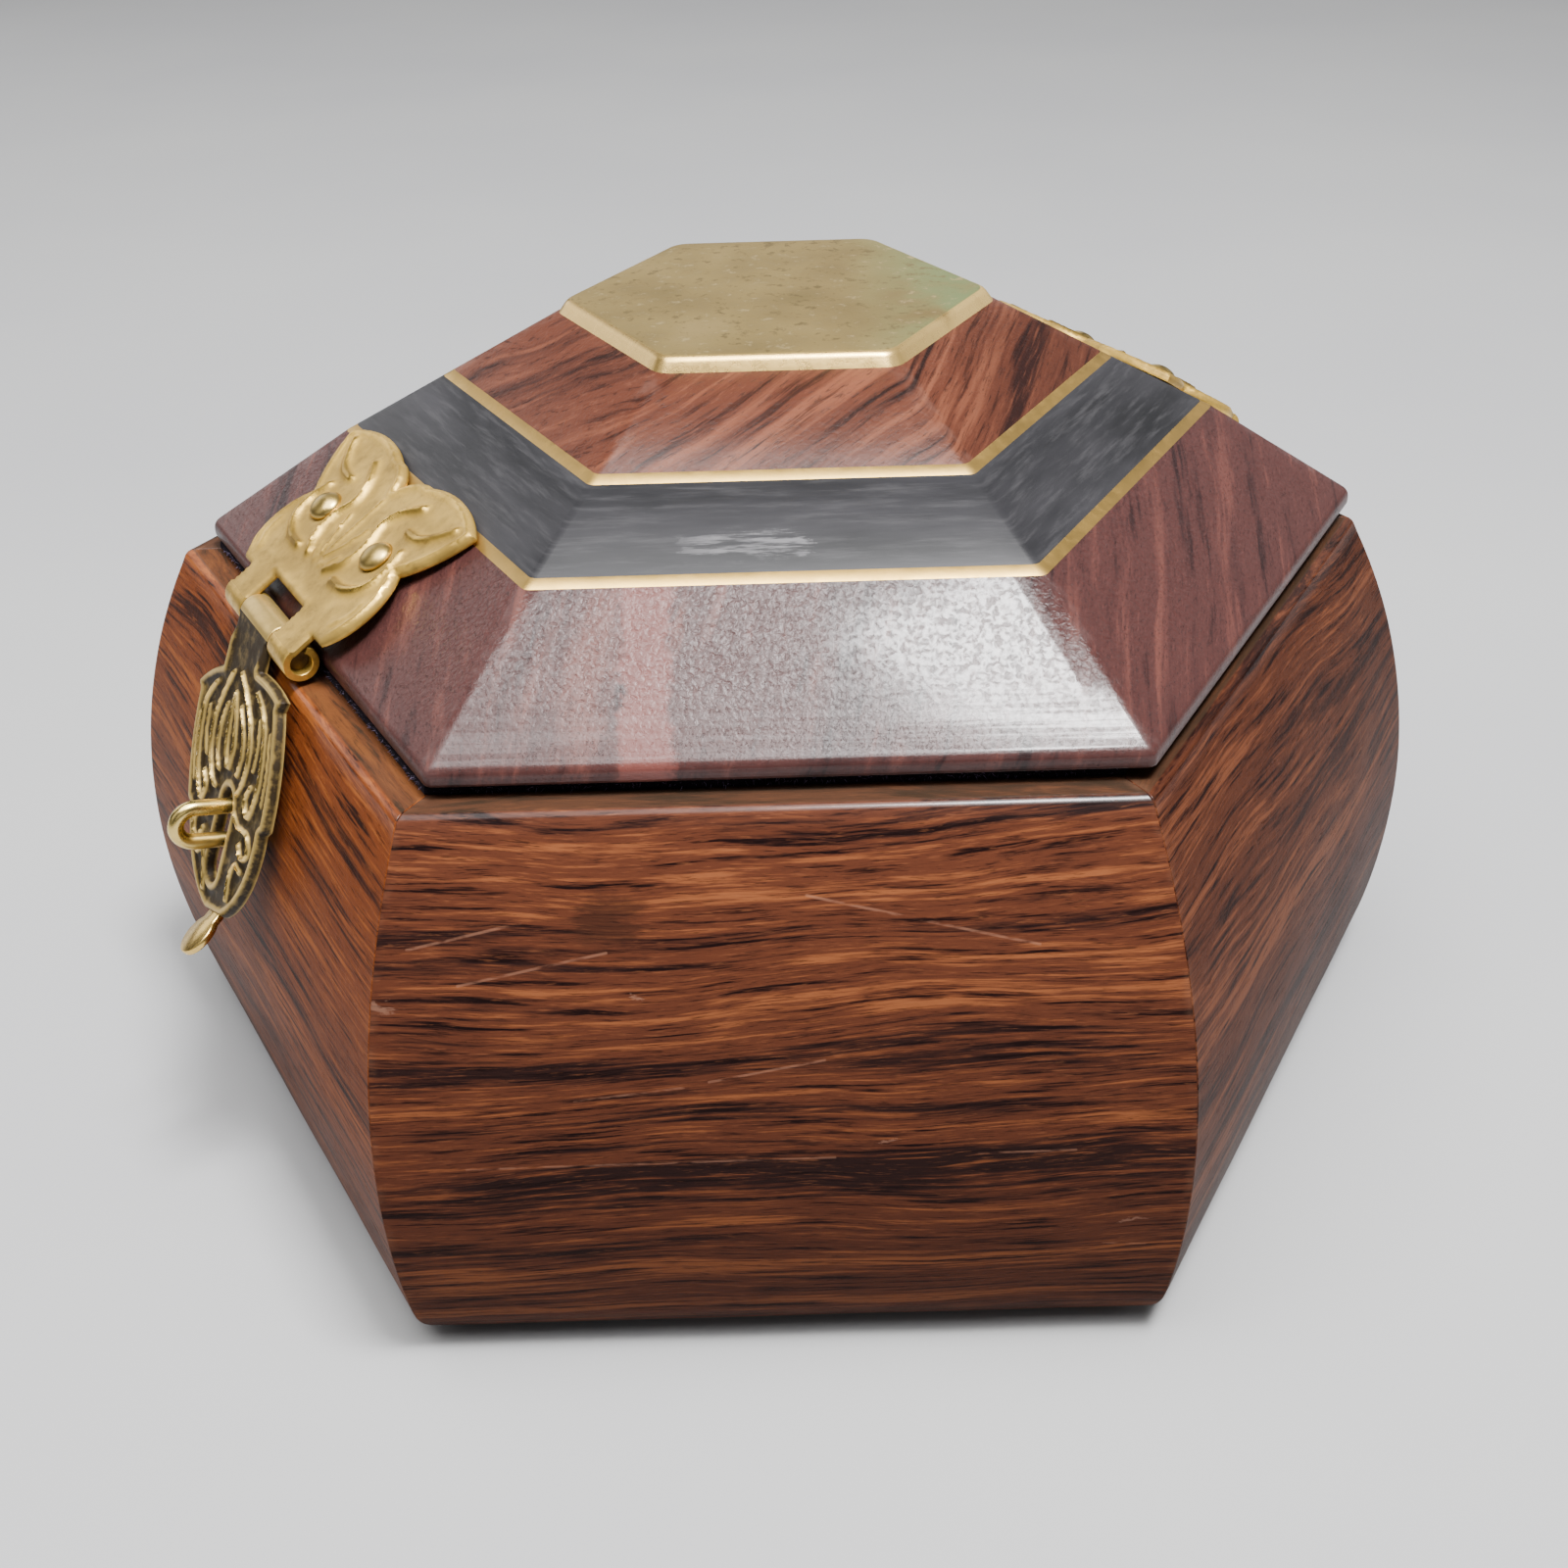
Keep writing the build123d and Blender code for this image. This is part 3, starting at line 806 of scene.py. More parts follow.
# %% Black band and brass lines
smear_start = -6.0
smear_stop = 2.6
smear_level = layer_level["black_band"] * 0.7 + layer_level["upper_brass_sheet"] * 0.3


def blackwood():
    """Black stained wood with hazy scuffs and one pale smear."""
    stain = Finish("black_band_wood")
    place = stain.place()
    haze = stain.noise(stain.stretch(place, (0.05, 0.05, 0.5)), 1.0, 4, 0.6)
    brushed = stain.noise(stain.stretch(place, (0.16, 0.16, 3.4)), 1.0, 4, 0.7)
    base = stain.ramp(haze, [(0.3, (0.010, 0.010, 0.011)), (0.7, (0.028, 0.027, 0.030))])
    base = stain.blend(brushed.between(0.45, 0.75) * 0.5, base, (0.055, 0.053, 0.056))
    torn = stain.ragged(place, (0.4, 0.4, 1.5), 1.0, 5.0, 1.3, 0.9)
    pale = stain.stroke(torn, (smear_start, smear_level), (smear_stop, smear_level), 0.8)
    pale = pale * brushed.between(0.44, 0.60) * stain.axis(place, "X").between(-9.0, -2.0)
    pale = pale * (1 - stain.axis(place, "Y").between(-20, -10))
    colour = stain.blend(pale * 0.4, base, (0.26, 0.25, 0.26))
    rough = 0.40 + (brushed - 0.5) * 0.3 + pale * 0.12
    return stain.done(
        base_color=colour,
        roughness=rough,
        specular_ior_level=0.16,
        coat_weight=stain.mark("polish") * 0.15,
        coat_roughness=0.3,
        normal=stain.bump(brushed, 0.02, 0.5),
    )


def brass(name, bright, dull, spread=0.5, low=0.24, high=0.5, grain=0.9, recess=None, bump=0.03):
    """Aged brass. A recess is the relief where grime and painted shade are full, where they end, their tone
    and their share.
    """
    metal = Finish(name)
    place = metal.place()
    cloud = metal.noise(place, 0.22, 4, 0.6)
    speck = metal.noise(place, grain, 5, 0.65)
    tarnish = (cloud.between(0.35, 0.68) * 0.7 + speck.between(0.5, 0.75) * 0.5) * spread
    colour = metal.blend(tarnish, bright, dull)
    rough = low + tarnish * (high - low) + (speck - 0.5) * 0.12
    coverage = 1.0
    if recess:
        floor_relief, top_relief, grime_and_shade_tone, grime_and_shade_share = recess
        # grime and painted shade: the lower the relief, the darker and duller the brass, so the hollows show
        # real grime and the shade of the relief
        depth = 1 - metal.mark("relief").between(floor_relief, top_relief)
        grime_and_shade = depth * (grime_and_shade_share + (speck - 0.5) * 0.7)
        colour = metal.blend(grime_and_shade, colour, grime_and_shade_tone)
        rough = rough + grime_and_shade * 0.25
        coverage = 1 - grime_and_shade * 0.9
    return metal.done(
        base_color=colour,
        metallic=coverage,
        roughness=rough,
        specular_ior_level=0.15,
        normal=metal.bump(speck * 0.6 + cloud * 0.4, bump, 0.7),
    )


line_brass = brass("brass_line", (0.72, 0.46, 0.13), (0.43, 0.27, 0.075), 0.7, 0.36, 0.55)
lid_layer("black_band", straight("black_band"), blackwood())
for sheet_name in ("lower_brass_sheet", "upper_brass_sheet"):
    lid_layer(sheet_name, straight(sheet_name), line_brass)

# %% [markdown]
# The plate on top is a thin brass sheet, gone olive with age, with a greenish bloom towards the
# right end. Its edge has been filed to a bevel that stays bright. It is lofted like the other
# layers, and then closed in towards the middle in a very flat crown.

# %% Top plate
def plate_brass():
    """Olive brass with a green bloom, dark specks and a bright filed edge."""
    metal = Finish("plate_brass")
    place = metal.place()
    cloud = metal.noise(place, 0.10, 5, 0.62)
    speck = metal.noise(place, 0.8, 5, 0.7)
    side = metal.axis(place, "X")
    colour = metal.ramp(
        cloud, [(0.3, (0.22, 0.155, 0.050)), (0.55, (0.33, 0.235, 0.080)), (0.75, (0.42, 0.305, 0.12))]
    )
    bloom = side.between(5, 17) * cloud.between(0.34, 0.54)
    colour = metal.blend(bloom * 0.8, colour, (0.105, 0.175, 0.065))
    colour = metal.blend(speck.between(0.54, 0.68) * 0.85, colour, (0.14, 0.098, 0.036))
    colour = metal.blend((1 - speck.between(0.32, 0.42)) * 0.5, colour, (0.62, 0.47, 0.22))
    rim = metal.mark("rim")
    colour = metal.blend(rim * 0.85, colour, (0.80, 0.53, 0.17))
    rough = 0.52 - rim * 0.24 + (speck - 0.5) * 0.2
    return metal.done(
        base_color=colour,
        metallic=0.92 - bloom * 0.3,
        roughness=rough,
        normal=metal.bump(speck, 0.03, 0.6),
    )


plate_bottom = layer_level["top_plate"]
plate_width = layer_width["top_plate"]
plate_top = node_box("top_plate")[1][2]
plate_slope = math.tan(math.radians(60))
plate_edge_width = plate_width - (plate_top - plate_bottom) / plate_slope
plate_crown = 0.12
plate_corner = 1.8
plate_rim = 0.25
plate_profile = soften(
    [
        (plate_width, plate_bottom),
        (plate_edge_width, plate_top - plate_crown),
        (plate_edge_width * 0.9, plate_top - plate_crown * 0.75),
    ],
    [0, 0.5, 0],
    8,
)
for share in (0.75, 0.55, 0.35, 0.15, 0.02):
    plate_profile.append((plate_edge_width * share, plate_top - plate_crown * share ** 2))
lid_layer("top_plate", plate_profile, plate_brass(), plate_corner,
          plate_edge_width - plate_rim, crease=60.0)

# %% [markdown]
# ## The stamped brass fittings
# The hasp and the hinge are small fittings stamped from one thin sheet: winged leaves with
# scrolls pressed into them, a flap with deeper scrollwork, and ends rolled round a pin. A bump
# map would look flat at the edges, so each one is a dense mesh: its outline is drawn once, the
# inside is filled with small triangles, and every point is raised by how near it lies to a line
# of the scrollwork. The places come from the two joints of the frame, because each leaf is drawn
# from its own pin.

# %% Outlines and scroll lines
def bow(start, through, stop, steps=16):
    """Points on the arc through three points, without the last."""
    a, b, c = (np.array(p, float) for p in (start, through, stop))
    matrix = 2 * np.array((b - a, c - a))
    middle = np.linalg.solve(matrix, np.array((b @ b - a @ a, c @ c - a @ a)))
    radius = np.linalg.norm(a - middle)
    turns = [math.atan2(*(p - middle)[::-1]) for p in (a, b, c)]
    sweep = (turns[2] - turns[0]) % math.tau
    if (turns[1] - turns[0]) % math.tau > sweep:
        sweep -= math.tau
    return [middle + radius * np.array((math.cos(turns[0] + sweep * s), math.sin(turns[0] + sweep * s)))
            for s in np.arange(steps) / steps]


def mirrored(half):
    """A closed outline from its right half, which starts and ends on the middle line."""
    half = [np.array(p, float) for p in half]
    return half + [p * (-1, 1) for p in reversed(half[1:-1])]


def flowing(knots, steps=8):
    """A smooth line through knots."""
    knots = np.array([knots[0], *knots, knots[-1]], float)
    line = []
    for i in range(1, len(knots) - 2):
        a, b, c, d = knots[i - 1:i + 3]
        for s in np.arange(steps) / steps:
            line.append(0.5 * (2 * b + (c - a) * s + (2 * a - 5 * b + 4 * c - d) * s ** 2
                               + (3 * b - a - 3 * c + d) * s ** 3))
    return np.array([*line, knots[-2]])


def distance_to(places, line, closed=False):
    """How far each place lies from a line of points."""
    line = np.asarray(line, float)
    starts = line if closed else line[:-1]
    stops = np.roll(line, -1, 0) if closed else line[1:]
    best = np.full(len(places), 1e9)
    for a, b in zip(starts, stops):
        way = b - a
        share = np.clip((places - a) @ way / max(way @ way, 1e-12), 0, 1)
        best = np.minimum(best, np.linalg.norm(places - a - share[:, None] * way, axis=1))
    return best


def inside(places, outline):
    """Which places lie inside a closed outline."""
    outline = np.asarray(outline, float)
    found = np.zeros(len(places), bool)
    for (x0, y0), (x1, y1) in zip(outline, np.roll(outline, -1, 0)):
        if y0 == y1:
            continue
        crosses = (y0 > places[:, 1]) != (y1 > places[:, 1])
        found ^= crosses & (places[:, 0] < (x1 - x0) * (places[:, 1] - y0) / (y1 - y0) + x0)
    return found


def even(outline, gap):
    """A closed outline with points about a gap apart, corners kept."""
    made = []
    outline = np.asarray(outline, float)
    for a, b in zip(outline, np.roll(outline, -1, 0)):
        count = max(1, int(round(np.linalg.norm(b - a) / gap)))
        made += [a + (b - a) * s for s in np.arange(count) / count]
    return np.array(made)


print("outline helpers ready")

# %% [markdown]
# A stamped sheet starts as an outline with points a small gap apart, and a grid of points inside
# it, all joined to triangles. The scrolls are smooth lines, and the height falls off beside each
# of them as a bell curve. A raised rim follows the outline and the holes, the edge is rounded
# off, and a flat back closes the sheet. The relief stays on the mesh as a mark, so that the
# finish knows where to put grime and painted shade.

# %% Stamped sheet
leaf_sheet = 0.6
edge_round = 0.3
edge_drop = 0.24
roll_start = 0.3
plain_fade = 1.2
back_relief = 0.26
rim_inset = 0.45
rim_spread = 0.35
hole_inset = 0.5
hole_spread = 0.4


def scrollwork(places, lines):
    """Height of pressed lines: each has knots for the right half, a width and a height."""
    folded = np.abs(places) * (1, 0) + places * (0, 1)
    height = np.zeros(len(places))
    for knots, width, rise in lines:
        line = rise * np.exp(-((distance_to(folded, flowing(knots)) / width) ** 2))
        height = np.maximum(height, line) if rise > 0 else height + line
    return height


def in_sheet(places, borders):
    """Which places lie inside the first border and outside the others."""
    found = inside(places, borders[0])
    for hole in borders[1:]:
        found &= ~inside(places, hole)
    return found


def stamped(outline, holes, lines, gap, rim, plain, unturn=np.array):
    """Points, faces and relief of a pressed sheet with its back at height 0."""
    borders = [even(outline, gap)] + [even(h, gap) for h in holes]
    low = borders[0].min(0)
    high = borders[0].max(0)
    rows = np.arange(low[1], high[1], gap * 0.87)
    grid = np.array([
        (x + (i % 2) * gap / 2, y) for i, y in enumerate(rows) for x in np.arange(low[0], high[0], gap)
    ])
    near = np.min([distance_to(grid, b, True) for b in borders], 0)
    grid = grid[in_sheet(grid, borders) & (near > gap * 0.55)]
    places = np.concatenate(borders + [grid])
    lines_kept = []
    start = 0
    for border in borders:
        count = len(border)
        lines_kept += [(start + i, start + (i + 1) % count) for i in range(count)]
        start += count
    flat, _, triangles, *_ = delaunay_2d_cdt([Vector(p) for p in places], lines_kept, [], 0, 1e-6)
    places = np.array(flat, float)
    triangles = np.array(triangles)
    triangles = triangles[in_sheet(places[triangles].mean(1), borders)]
    edge = distance_to(places, borders[0], True)
    relief = scrollwork(unturn(places), lines)
    relief = np.maximum(relief, rim * np.exp(-(((edge - rim_inset) / rim_spread) ** 2)))
    for hole in borders[1:]:
        around = distance_to(places, hole, True)
        relief = np.maximum(relief, rim * np.exp(-(((around - hole_inset) / hole_spread) ** 2)))
        edge = np.minimum(edge, around)
    relief *= np.clip((np.abs(places[:, 1]) - plain) / plain_fade, 0, 1)
    drop = np.clip(1 - edge / edge_round, 0, 1)
    off_pin = np.abs(places[:, 1]) > roll_start
    top = leaf_sheet + relief - edge_drop * (1 - np.sqrt(1 - drop ** 2)) * off_pin
    count = len(places)
    points = [(x, y, z) for (x, y), z in zip(places, top)] + [(x, y, 0.0) for x, y in places]
    faces = [tuple(t) for t in triangles] + [tuple(count + i for i in reversed(t)) for t in triangles]
    sides = dict.fromkeys((t[i], t[(i + 1) % 3]) for t in triangles for i in range(3))
    for a, b in sides:
        if (b, a) not in sides:
            faces.append((b, a, count + a, count + b))
    return np.array(points), faces, np.concatenate([relief, relief * 0 + back_relief])


def together(parts):
    """One list of points, faces and marks from several."""
    points = []
    faces = []
    marks = []
    for part_points, part_faces, part_marks in parts:
        start = len(points)
        points += [tuple(p) for p in part_points]
        faces += [tuple(start + i for i in f) for f in part_faces]
        marks += list(part_marks)
    return np.array(points), faces, marks


def keep_fitting(name, points, faces, relief, finish, body):
    """A stamped fitting that stands for the node of its name."""
    keep(name, points, faces, finish, body, [name], {"relief": relief}, 50.0)


print("stamping helpers ready")

# %% [markdown]
# The pins are found from the joints. A pin's frame has its first axis along the wall, its second
# axis up the sheet and its third axis out of it, so a leaf can be drawn flat and then laid in
# place.

# %% Pin frames
pin_bore = 0.85
knuckle_radius = pin_bore + leaf_sheet
knuckle_half = 7.5
middle_half = 3.4
window_half = 3.55
window_height = 3.0
hinge_angle = 30
hasp_angle = 210
leaf_tilt = 59.0
flap_wall_gap = 0.8
joint_place = {j["name"]: np.array(j["pos_m"]) / MM for j in frame["joints"]}
hinge_pin_place = joint_place["lid_hinge"]
hasp_pin_place = joint_place["hasp_hinge"]


def laid(points, pin, angle, tilt):
    """Points drawn flat in a pin's frame, laid in place."""
    n = outward(angle)
    out = n * math.cos(math.radians(tilt)) + UPRIGHT * math.sin(math.radians(tilt))
    rise = UPRIGHT * math.cos(math.radians(tilt)) - n * math.sin(math.radians(tilt))
    points = np.asarray(points, float)
    return pin + points[:, :1] * along_wall(angle) + points[:, 1:2] * rise + points[:, 2:] * out


def curl(start, stop, first, sweep, relief, steps=26):
    """An end rolled round the pin: a thick open ring between two places along it."""
    turns = np.radians(np.linspace(first, first + sweep, steps + 1))
    section = [(knuckle_radius * math.cos(a), knuckle_radius * math.sin(a)) for a in turns]
    section += [(pin_bore * math.cos(a), pin_bore * math.sin(a)) for a in reversed(turns)]
    lip = min(0.15, (stop - start) / 4)
    middle = (pin_bore + knuckle_radius) / 2
    loops = []
    for x, squeeze in ((start, 0.78), (start + lip * 0.4, 0.94), (start + lip, 1.0),
                       (stop - lip, 1.0), (stop - lip * 0.4, 0.94), (stop, 0.78)):
        loop = []
        for y, z in section:
            size = math.hypot(y, z)
            scale = (middle + (size - middle) * squeeze) / size
            loop.append((x, y * scale, z * scale))
        loops.append(loop)
    points, faces = loft(loops)
    return np.array(points), faces, [relief] * len(points)


hasp_reach = hasp_pin_place @ outward(hasp_angle) - belly_middle[0]
hasp_climb = hasp_pin_place[2] - belly_height
flap_lean = (belly_radius + flap_wall_gap - pin_bore) / math.hypot(hasp_reach, hasp_climb)
flap_tilt = math.degrees(math.atan2(hasp_climb, hasp_reach) - math.acos(min(1.0, flap_lean)))
print("flap hangs at", round(flap_tilt, 2), "degrees")

# %% [markdown]
# The lid leaf has a plain foot with a window for the flap's knuckle, two lobes and two wings with
# a cleft between them. Scrolls curl round the two nails and run out into the wings. The hinge's
# leaves are the same stamping.

# %% Winged leaf
leaf_gap = 0.3
leaf_rim = 0.22
leaf_plain = 2.6
leaf_curl_relief = 0.2
wing_foot = 9.2
wing_start = 2.1
leaf_wings = (
    bow((wing_foot, wing_start), (10.8, 6.0), (9.4, 9.9))
    + bow((9.4, 9.9), (11.5, 12.6), (12.9, 15.9))
    + bow((12.9, 15.9), (8.0, 17.3), (3.4, 16.6))
    + bow((3.4, 16.6), (1.2, 16.0), (0, 14.5))
    + [(0, 14.5)]
)
lid_leaf_half = [
    (0, window_height),
    (window_half, window_height),
    (window_half, 0.0),
    (knuckle_half, 0),
    (knuckle_half, wing_start),
    *leaf_wings,
]
leaf_nail = np.array((5.75, 9.7))
leaf_lines = [
    ([(2.0, 6.2), (3.3, 7.6), (3.6, 9.8), (2.9, 11.8), (3.7, 13.6), (5.4, 14.9)], 0.42, 0.46),
    ([(4.0, 6.0), (6.2, 6.2), (8.1, 7.5), (8.5, 9.5), (7.9, 11.2)], 0.42, 0.46),
    ([(6.3, 12.7), (8.4, 13.0), (10.0, 14.2), (11.0, 15.3)], 0.44, 0.38),
    ([(0.0, 7.4), (0.0, 13.2)], 0.30, 0.24),
    ([(0.3, 6.8), (1.2, 8.6), (1.9, 10.6)], 0.30, 0.26),
    ([(0.5, 6.2), (1.2, 6.6), (1.9, 7.6)], 0.28, 0.22),
    ([(8.6, 3.6), (9.5, 5.0), (9.6, 6.4)], 0.42, 0.20),
    ([(5.2, 10.6), (5.75, 12.0), (6.9, 11.0)], 0.55, -0.28),
]
# The recess tone of both finishes darkens the hollows of the relief with grime and painted shade.
bright_brass = brass(
    "leaf_brass", (0.93, 0.59, 0.12), (0.27, 0.165, 0.034), 1.0, 0.26, 0.46, 0.7,
    (-0.05, 0.30, (0.17, 0.110, 0.030), 0.80), 0.14,
)
dark_brass = brass(
    "flap_brass", (0.86, 0.59, 0.18), (0.42, 0.27, 0.075), 0.6, 0.22, 0.42, 0.9,
    (0.10, 0.40, (0.022, 0.014, 0.006), 1.0), 0.04,
)


def winged_leaf(name, pin, angle):
    """A leaf on the lid, drawn from its pin, with a knuckle on each side of its window."""
    points, faces, relief = stamped(mirrored(lid_leaf_half), [], leaf_lines, leaf_gap, leaf_rim, leaf_plain)
    points, faces, relief = together([
        (points + (0, 0, pin_bore), faces, relief),
        curl(-knuckle_half, -window_half, 90, 300, leaf_curl_relief),
        curl(window_half, knuckle_half, 90, 300, leaf_curl_relief),
    ])
    points = laid(points, pin, angle, leaf_tilt)
    keep_fitting(name, points, faces, relief, bright_brass, "lid")


winged_leaf("hasp_lid_leaf", hasp_pin_place, hasp_angle)
winged_leaf("hinge_lid_leaf", hinge_pin_place, hinge_angle)

# %% [markdown]
# The flap is darker, because grime and painted shade fill its deeper scrolls. It has pointed
# shoulders, a slot for the staple and a narrow foot, where a small tab turns outward for the thumb.

# %% Flap
flap_gap = 0.22
flap_rim = 0.30
flap_plain = 1.2
flap_curl_relief = 0.3
flap_tab_relief = 0.6
flap_foot = -22.4
flap_skew = math.radians(18)
flap_neck_reach = 3.7
flap_neck_length = 2.6
flap_half = (
    [(0, -flap_neck_length)]
    + bow((middle_half, -flap_neck_length), (6.0, -3.1), (9.2, -4.4))[1:]
    + [(9.2, -4.4)]
    + bow((8.6, -5.2), (9.2, -9.8), (8.6, -14.4))
    + [(8.6, -14.4)]
    + bow((7.9, -14.8), (6.1, -19.2), (1.8, flap_foot))
    + [(1.8, flap_foot), (0, flap_foot)]
)
skew_matrix = np.array((
    (math.cos(flap_skew), math.sin(flap_skew)),
    (-math.sin(flap_skew), math.cos(flap_skew)),
))


def hung(places):
    """Places on the flap's shield, turned askew about the end of its neck."""
    return (np.asarray(places, float) + (0, flap_neck_length)) @ skew_matrix - (0, flap_neck_reach)


def unhung(places):
    """The way back, so that the scrolls are drawn on the straight shield."""
    return (np.asarray(places, float) + (0, flap_neck_reach)) @ skew_matrix.T - (0, flap_neck_length)


staple_drop = 15.0
staple_on_flap = hung([(0, -staple_drop)])[0]
slot_half = 1.2
slot_top = -12.7
slot_bottom = -20.6
flap_slot = (
    arc((staple_on_flap[0], slot_top - slot_half), slot_half, 0, 180, 14)
    + arc((staple_on_flap[0], slot_bottom + slot_half), slot_half, 180, 360, 14)
)
flap_outline = (
    [(middle_half, 0)]
    + list(hung(flap_half[1:]))
    + list(hung([np.array(p) * (-1, 1) for p in reversed(flap_half[1:-1])]))
    + [(-middle_half, 0)]
)
flap_lines = [
    ([(0.9, -3.0), (2.4, -4.6), (3.9, -6.8), (4.3, -9.2), (3.5, -11.4), (2.5, -12.4)], 0.25, 0.50),
    (
        [(4.6, -4.2), (6.6, -6.0), (7.1, -8.8), (6.7, -11.8), (5.4, -13.8), (4.5, -12.7), (5.2, -11.5)],
        0.25,
        0.50,
    ),
    ([(5.6, -6.2), (5.8, -8.2), (5.3, -10.2)], 0.20, 0.40),
    ([(1.5, -5.6), (2.6, -7.6), (2.7, -9.6), (2.0, -11.0)], 0.23, 0.46),
    ([(0.0, -4.6), (0.6, -6.6), (0.8, -8.8), (0.2, -10.6)], 0.25, 0.48),
    ([(2.4, -13.9), (3.6, -14.8), (5.8, -15.2), (6.2, -16.6), (4.9, -17.1), (4.2, -16.1)], 0.25, 0.50),
    ([(4.9, -18.2), (3.7, -17.8), (2.9, -19.0), (2.7, -20.8)], 0.25, 0.46),
    ([(7.9, -7.0), (8.1, -9.8), (7.7, -12.6)], 0.20, 0.36),
]


def thumb_tab(length, stem, head, droop):
    """A little round-ended plate that is bent outward from the flap's foot."""
    lean = math.asin(stem / head)
    rim = arc((0, length - head), head, -90 + math.degrees(lean), 270 - math.degrees(lean), 24)
    plan = [(stem, 0.0), *rim, (-stem, 0.0)]
    lower = [(0.0, 0.12), (0.05, 0.04), (0.12, 0.0)]
    upper = [(leaf_sheet - level, inset) for level, inset in reversed(lower)]
    loops = []
    for level, inset in lower + upper:
        loop = []
        for x, out in plan:
            middle = np.array((0.0, max(0.0, min(out, length - head))))
            way = np.array((x, out)) - middle
            size = np.linalg.norm(way)
            x2, out2 = middle + way * (max(size - inset, 0) / size if size > 1e-9 else 1)
            loop.append((
                x2,
                flap_foot - out2 * math.sin(droop) + level * math.cos(droop),
                pin_bore + out2 * math.cos(droop) + level * math.sin(droop),
            ))
        loops.append(loop)
    points, faces = loft(loops)
    points = np.array(points)
    points[:, :2] = hung(points[:, :2])
    return points, faces, [flap_tab_relief] * len(points)


points, faces, relief = stamped(
    flap_outline, [flap_slot], flap_lines, flap_gap, flap_rim, flap_plain, unhung
)
points, faces, relief = together([
    (points + (0, 0, pin_bore), faces, relief),
    curl(-middle_half, middle_half, 90, -300, flap_curl_relief),
    thumb_tab(length=4.2, stem=1.1, head=1.8, droop=math.radians(55)),
])
points = laid(points, hasp_pin_place, hasp_angle, flap_tilt)
keep_fitting("hasp_flap", points, faces, relief, dark_brass, "hasp_flap")

# %% [markdown]
# The body leaf of the hinge is the same stamping turned upside down, and bent to the swell of the
# back wall. A short strap in its middle carries it up past the rim to its knuckle, between the
# two of the lid leaf.

# %% Body leaf
hinge_axis_radius = hinge_pin_place @ outward(hinge_angle)
hinge_height = hinge_pin_place[2]
seat_gap = 0.02
strap_inner = hinge_axis_radius - knuckle_radius
strap_foot = belly_height + math.sqrt((belly_radius + seat_gap) ** 2 - (strap_inner - belly_middle[0]) ** 2)
leaf_drop = hinge_height - strap_foot - 0.4


def belly_at(level):
    """Distance of a wall's outer face from the axis at a height."""
    return belly_middle[0] + math.sqrt(belly_radius ** 2 - (level - belly_height) ** 2)


def on_wall(points):
    """Points of a flat leaf, drawn down from the pin, laid on the back wall."""
    made = []
    for x, y, z in points:
        level = hinge_height - y
        if level > strap_foot:
            center = np.array((strap_inner, level))
            out = np.array((1.0, 0.0))
        else:
            out = np.array((belly_at(level) - belly_middle[0], level - belly_height)) / belly_radius
            center = np.array(belly_middle) + out * (belly_radius + seat_gap)
        r, h = center + out * z
        made.append(by_wall(hinge_angle, r, -x, h))
    return np.array(made)


body_half = [(0, 0), (middle_half, 0), (middle_half, leaf_drop), (wing_foot, leaf_drop)] + leaf_wings[1:]
points, faces, relief = stamped(mirrored(body_half), [], leaf_lines, leaf_gap, leaf_rim, leaf_drop)
curl_points, curl_faces, curl_relief = curl(-middle_half, middle_half, 180, -300, flap_curl_relief)
curl_points = (
    by_wall(hinge_angle, hinge_axis_radius, 0.0, hinge_height)
    + curl_points[:, :1] * along_wall(hinge_angle)
    + curl_points[:, 1:2] * outward(hinge_angle)
    + curl_points[:, 2:] * UPRIGHT
)
points, faces, relief = together([
    (on_wall(points), faces, relief),
    (curl_points, curl_faces, curl_relief),
])
keep_fitting("hinge_body_leaf", points, faces, relief, dark_brass, "box")

# %% [markdown]
# The staple is one bent wire, driven into the wall through the flap's slot. It is swept along its
# path as a tube, with the slight flats of a hand-bent wire.

# %% Staple
def tube(path, radius, count=18):
    """A closed round tube along points."""
    path = np.asarray(path, float)
    ways = np.gradient(path, axis=0)
    ways /= np.linalg.norm(ways, axis=1)[:, None]
    side = along_wall(hasp_angle)
    loops = []
    for i, (place, way) in enumerate(zip(path, ways)):
        over = np.cross(way, side)
        grow = radius * (0.985 + 0.015 * math.sin(i * 0.7))
        loops.append([
            place + grow * (math.cos(a) * side + math.sin(a) * over)
            for a in np.arange(count) / count * math.tau
        ])
    return loft(loops)


staple_wire = 0.65
staple_half = 1.5
staple_reach = 4.8
staple_depth = 8.0
staple_rise = math.radians(flap_tilt - 8.0)
staple_seat = laid([(*staple_on_flap, pin_bore + leaf_sheet / 2)], hasp_pin_place, hasp_angle, flap_tilt)[0]
leg_way = outward(hasp_angle) * math.cos(staple_rise) + UPRIGHT * math.sin(staple_rise)
leg_up = UPRIGHT * math.cos(staple_rise) - outward(hasp_angle) * math.sin(staple_rise)
staple_bend = staple_reach - staple_half - staple_wire
staple_plan = [(x, staple_half) for x in np.linspace(-staple_depth, staple_bend, 24)]
staple_plan += arc((staple_bend, 0), staple_half, 90, -90, 24)[1:-1]
staple_plan += [(x, -staple_half) for x in np.linspace(staple_bend, -staple_depth, 24)]
points, faces = tube([staple_seat + x * leg_way + y * leg_up for x, y in staple_plan], staple_wire)
wire_brass = brass("wire_brass", (0.82, 0.61, 0.20), (0.50, 0.35, 0.11), 0.6, 0.22, 0.42)
keep("hasp_staple", points, faces, wire_brass, "box", ["hasp_staple"], crease=60)
pin_brass = brass("pin_brass", (0.14, 0.095, 0.045), (0.05, 0.034, 0.018), 0.8, 0.45, 0.65)
for pin_name in ("hinge_pin", "hasp_pin"):
    dress(pin_name, pin_brass)

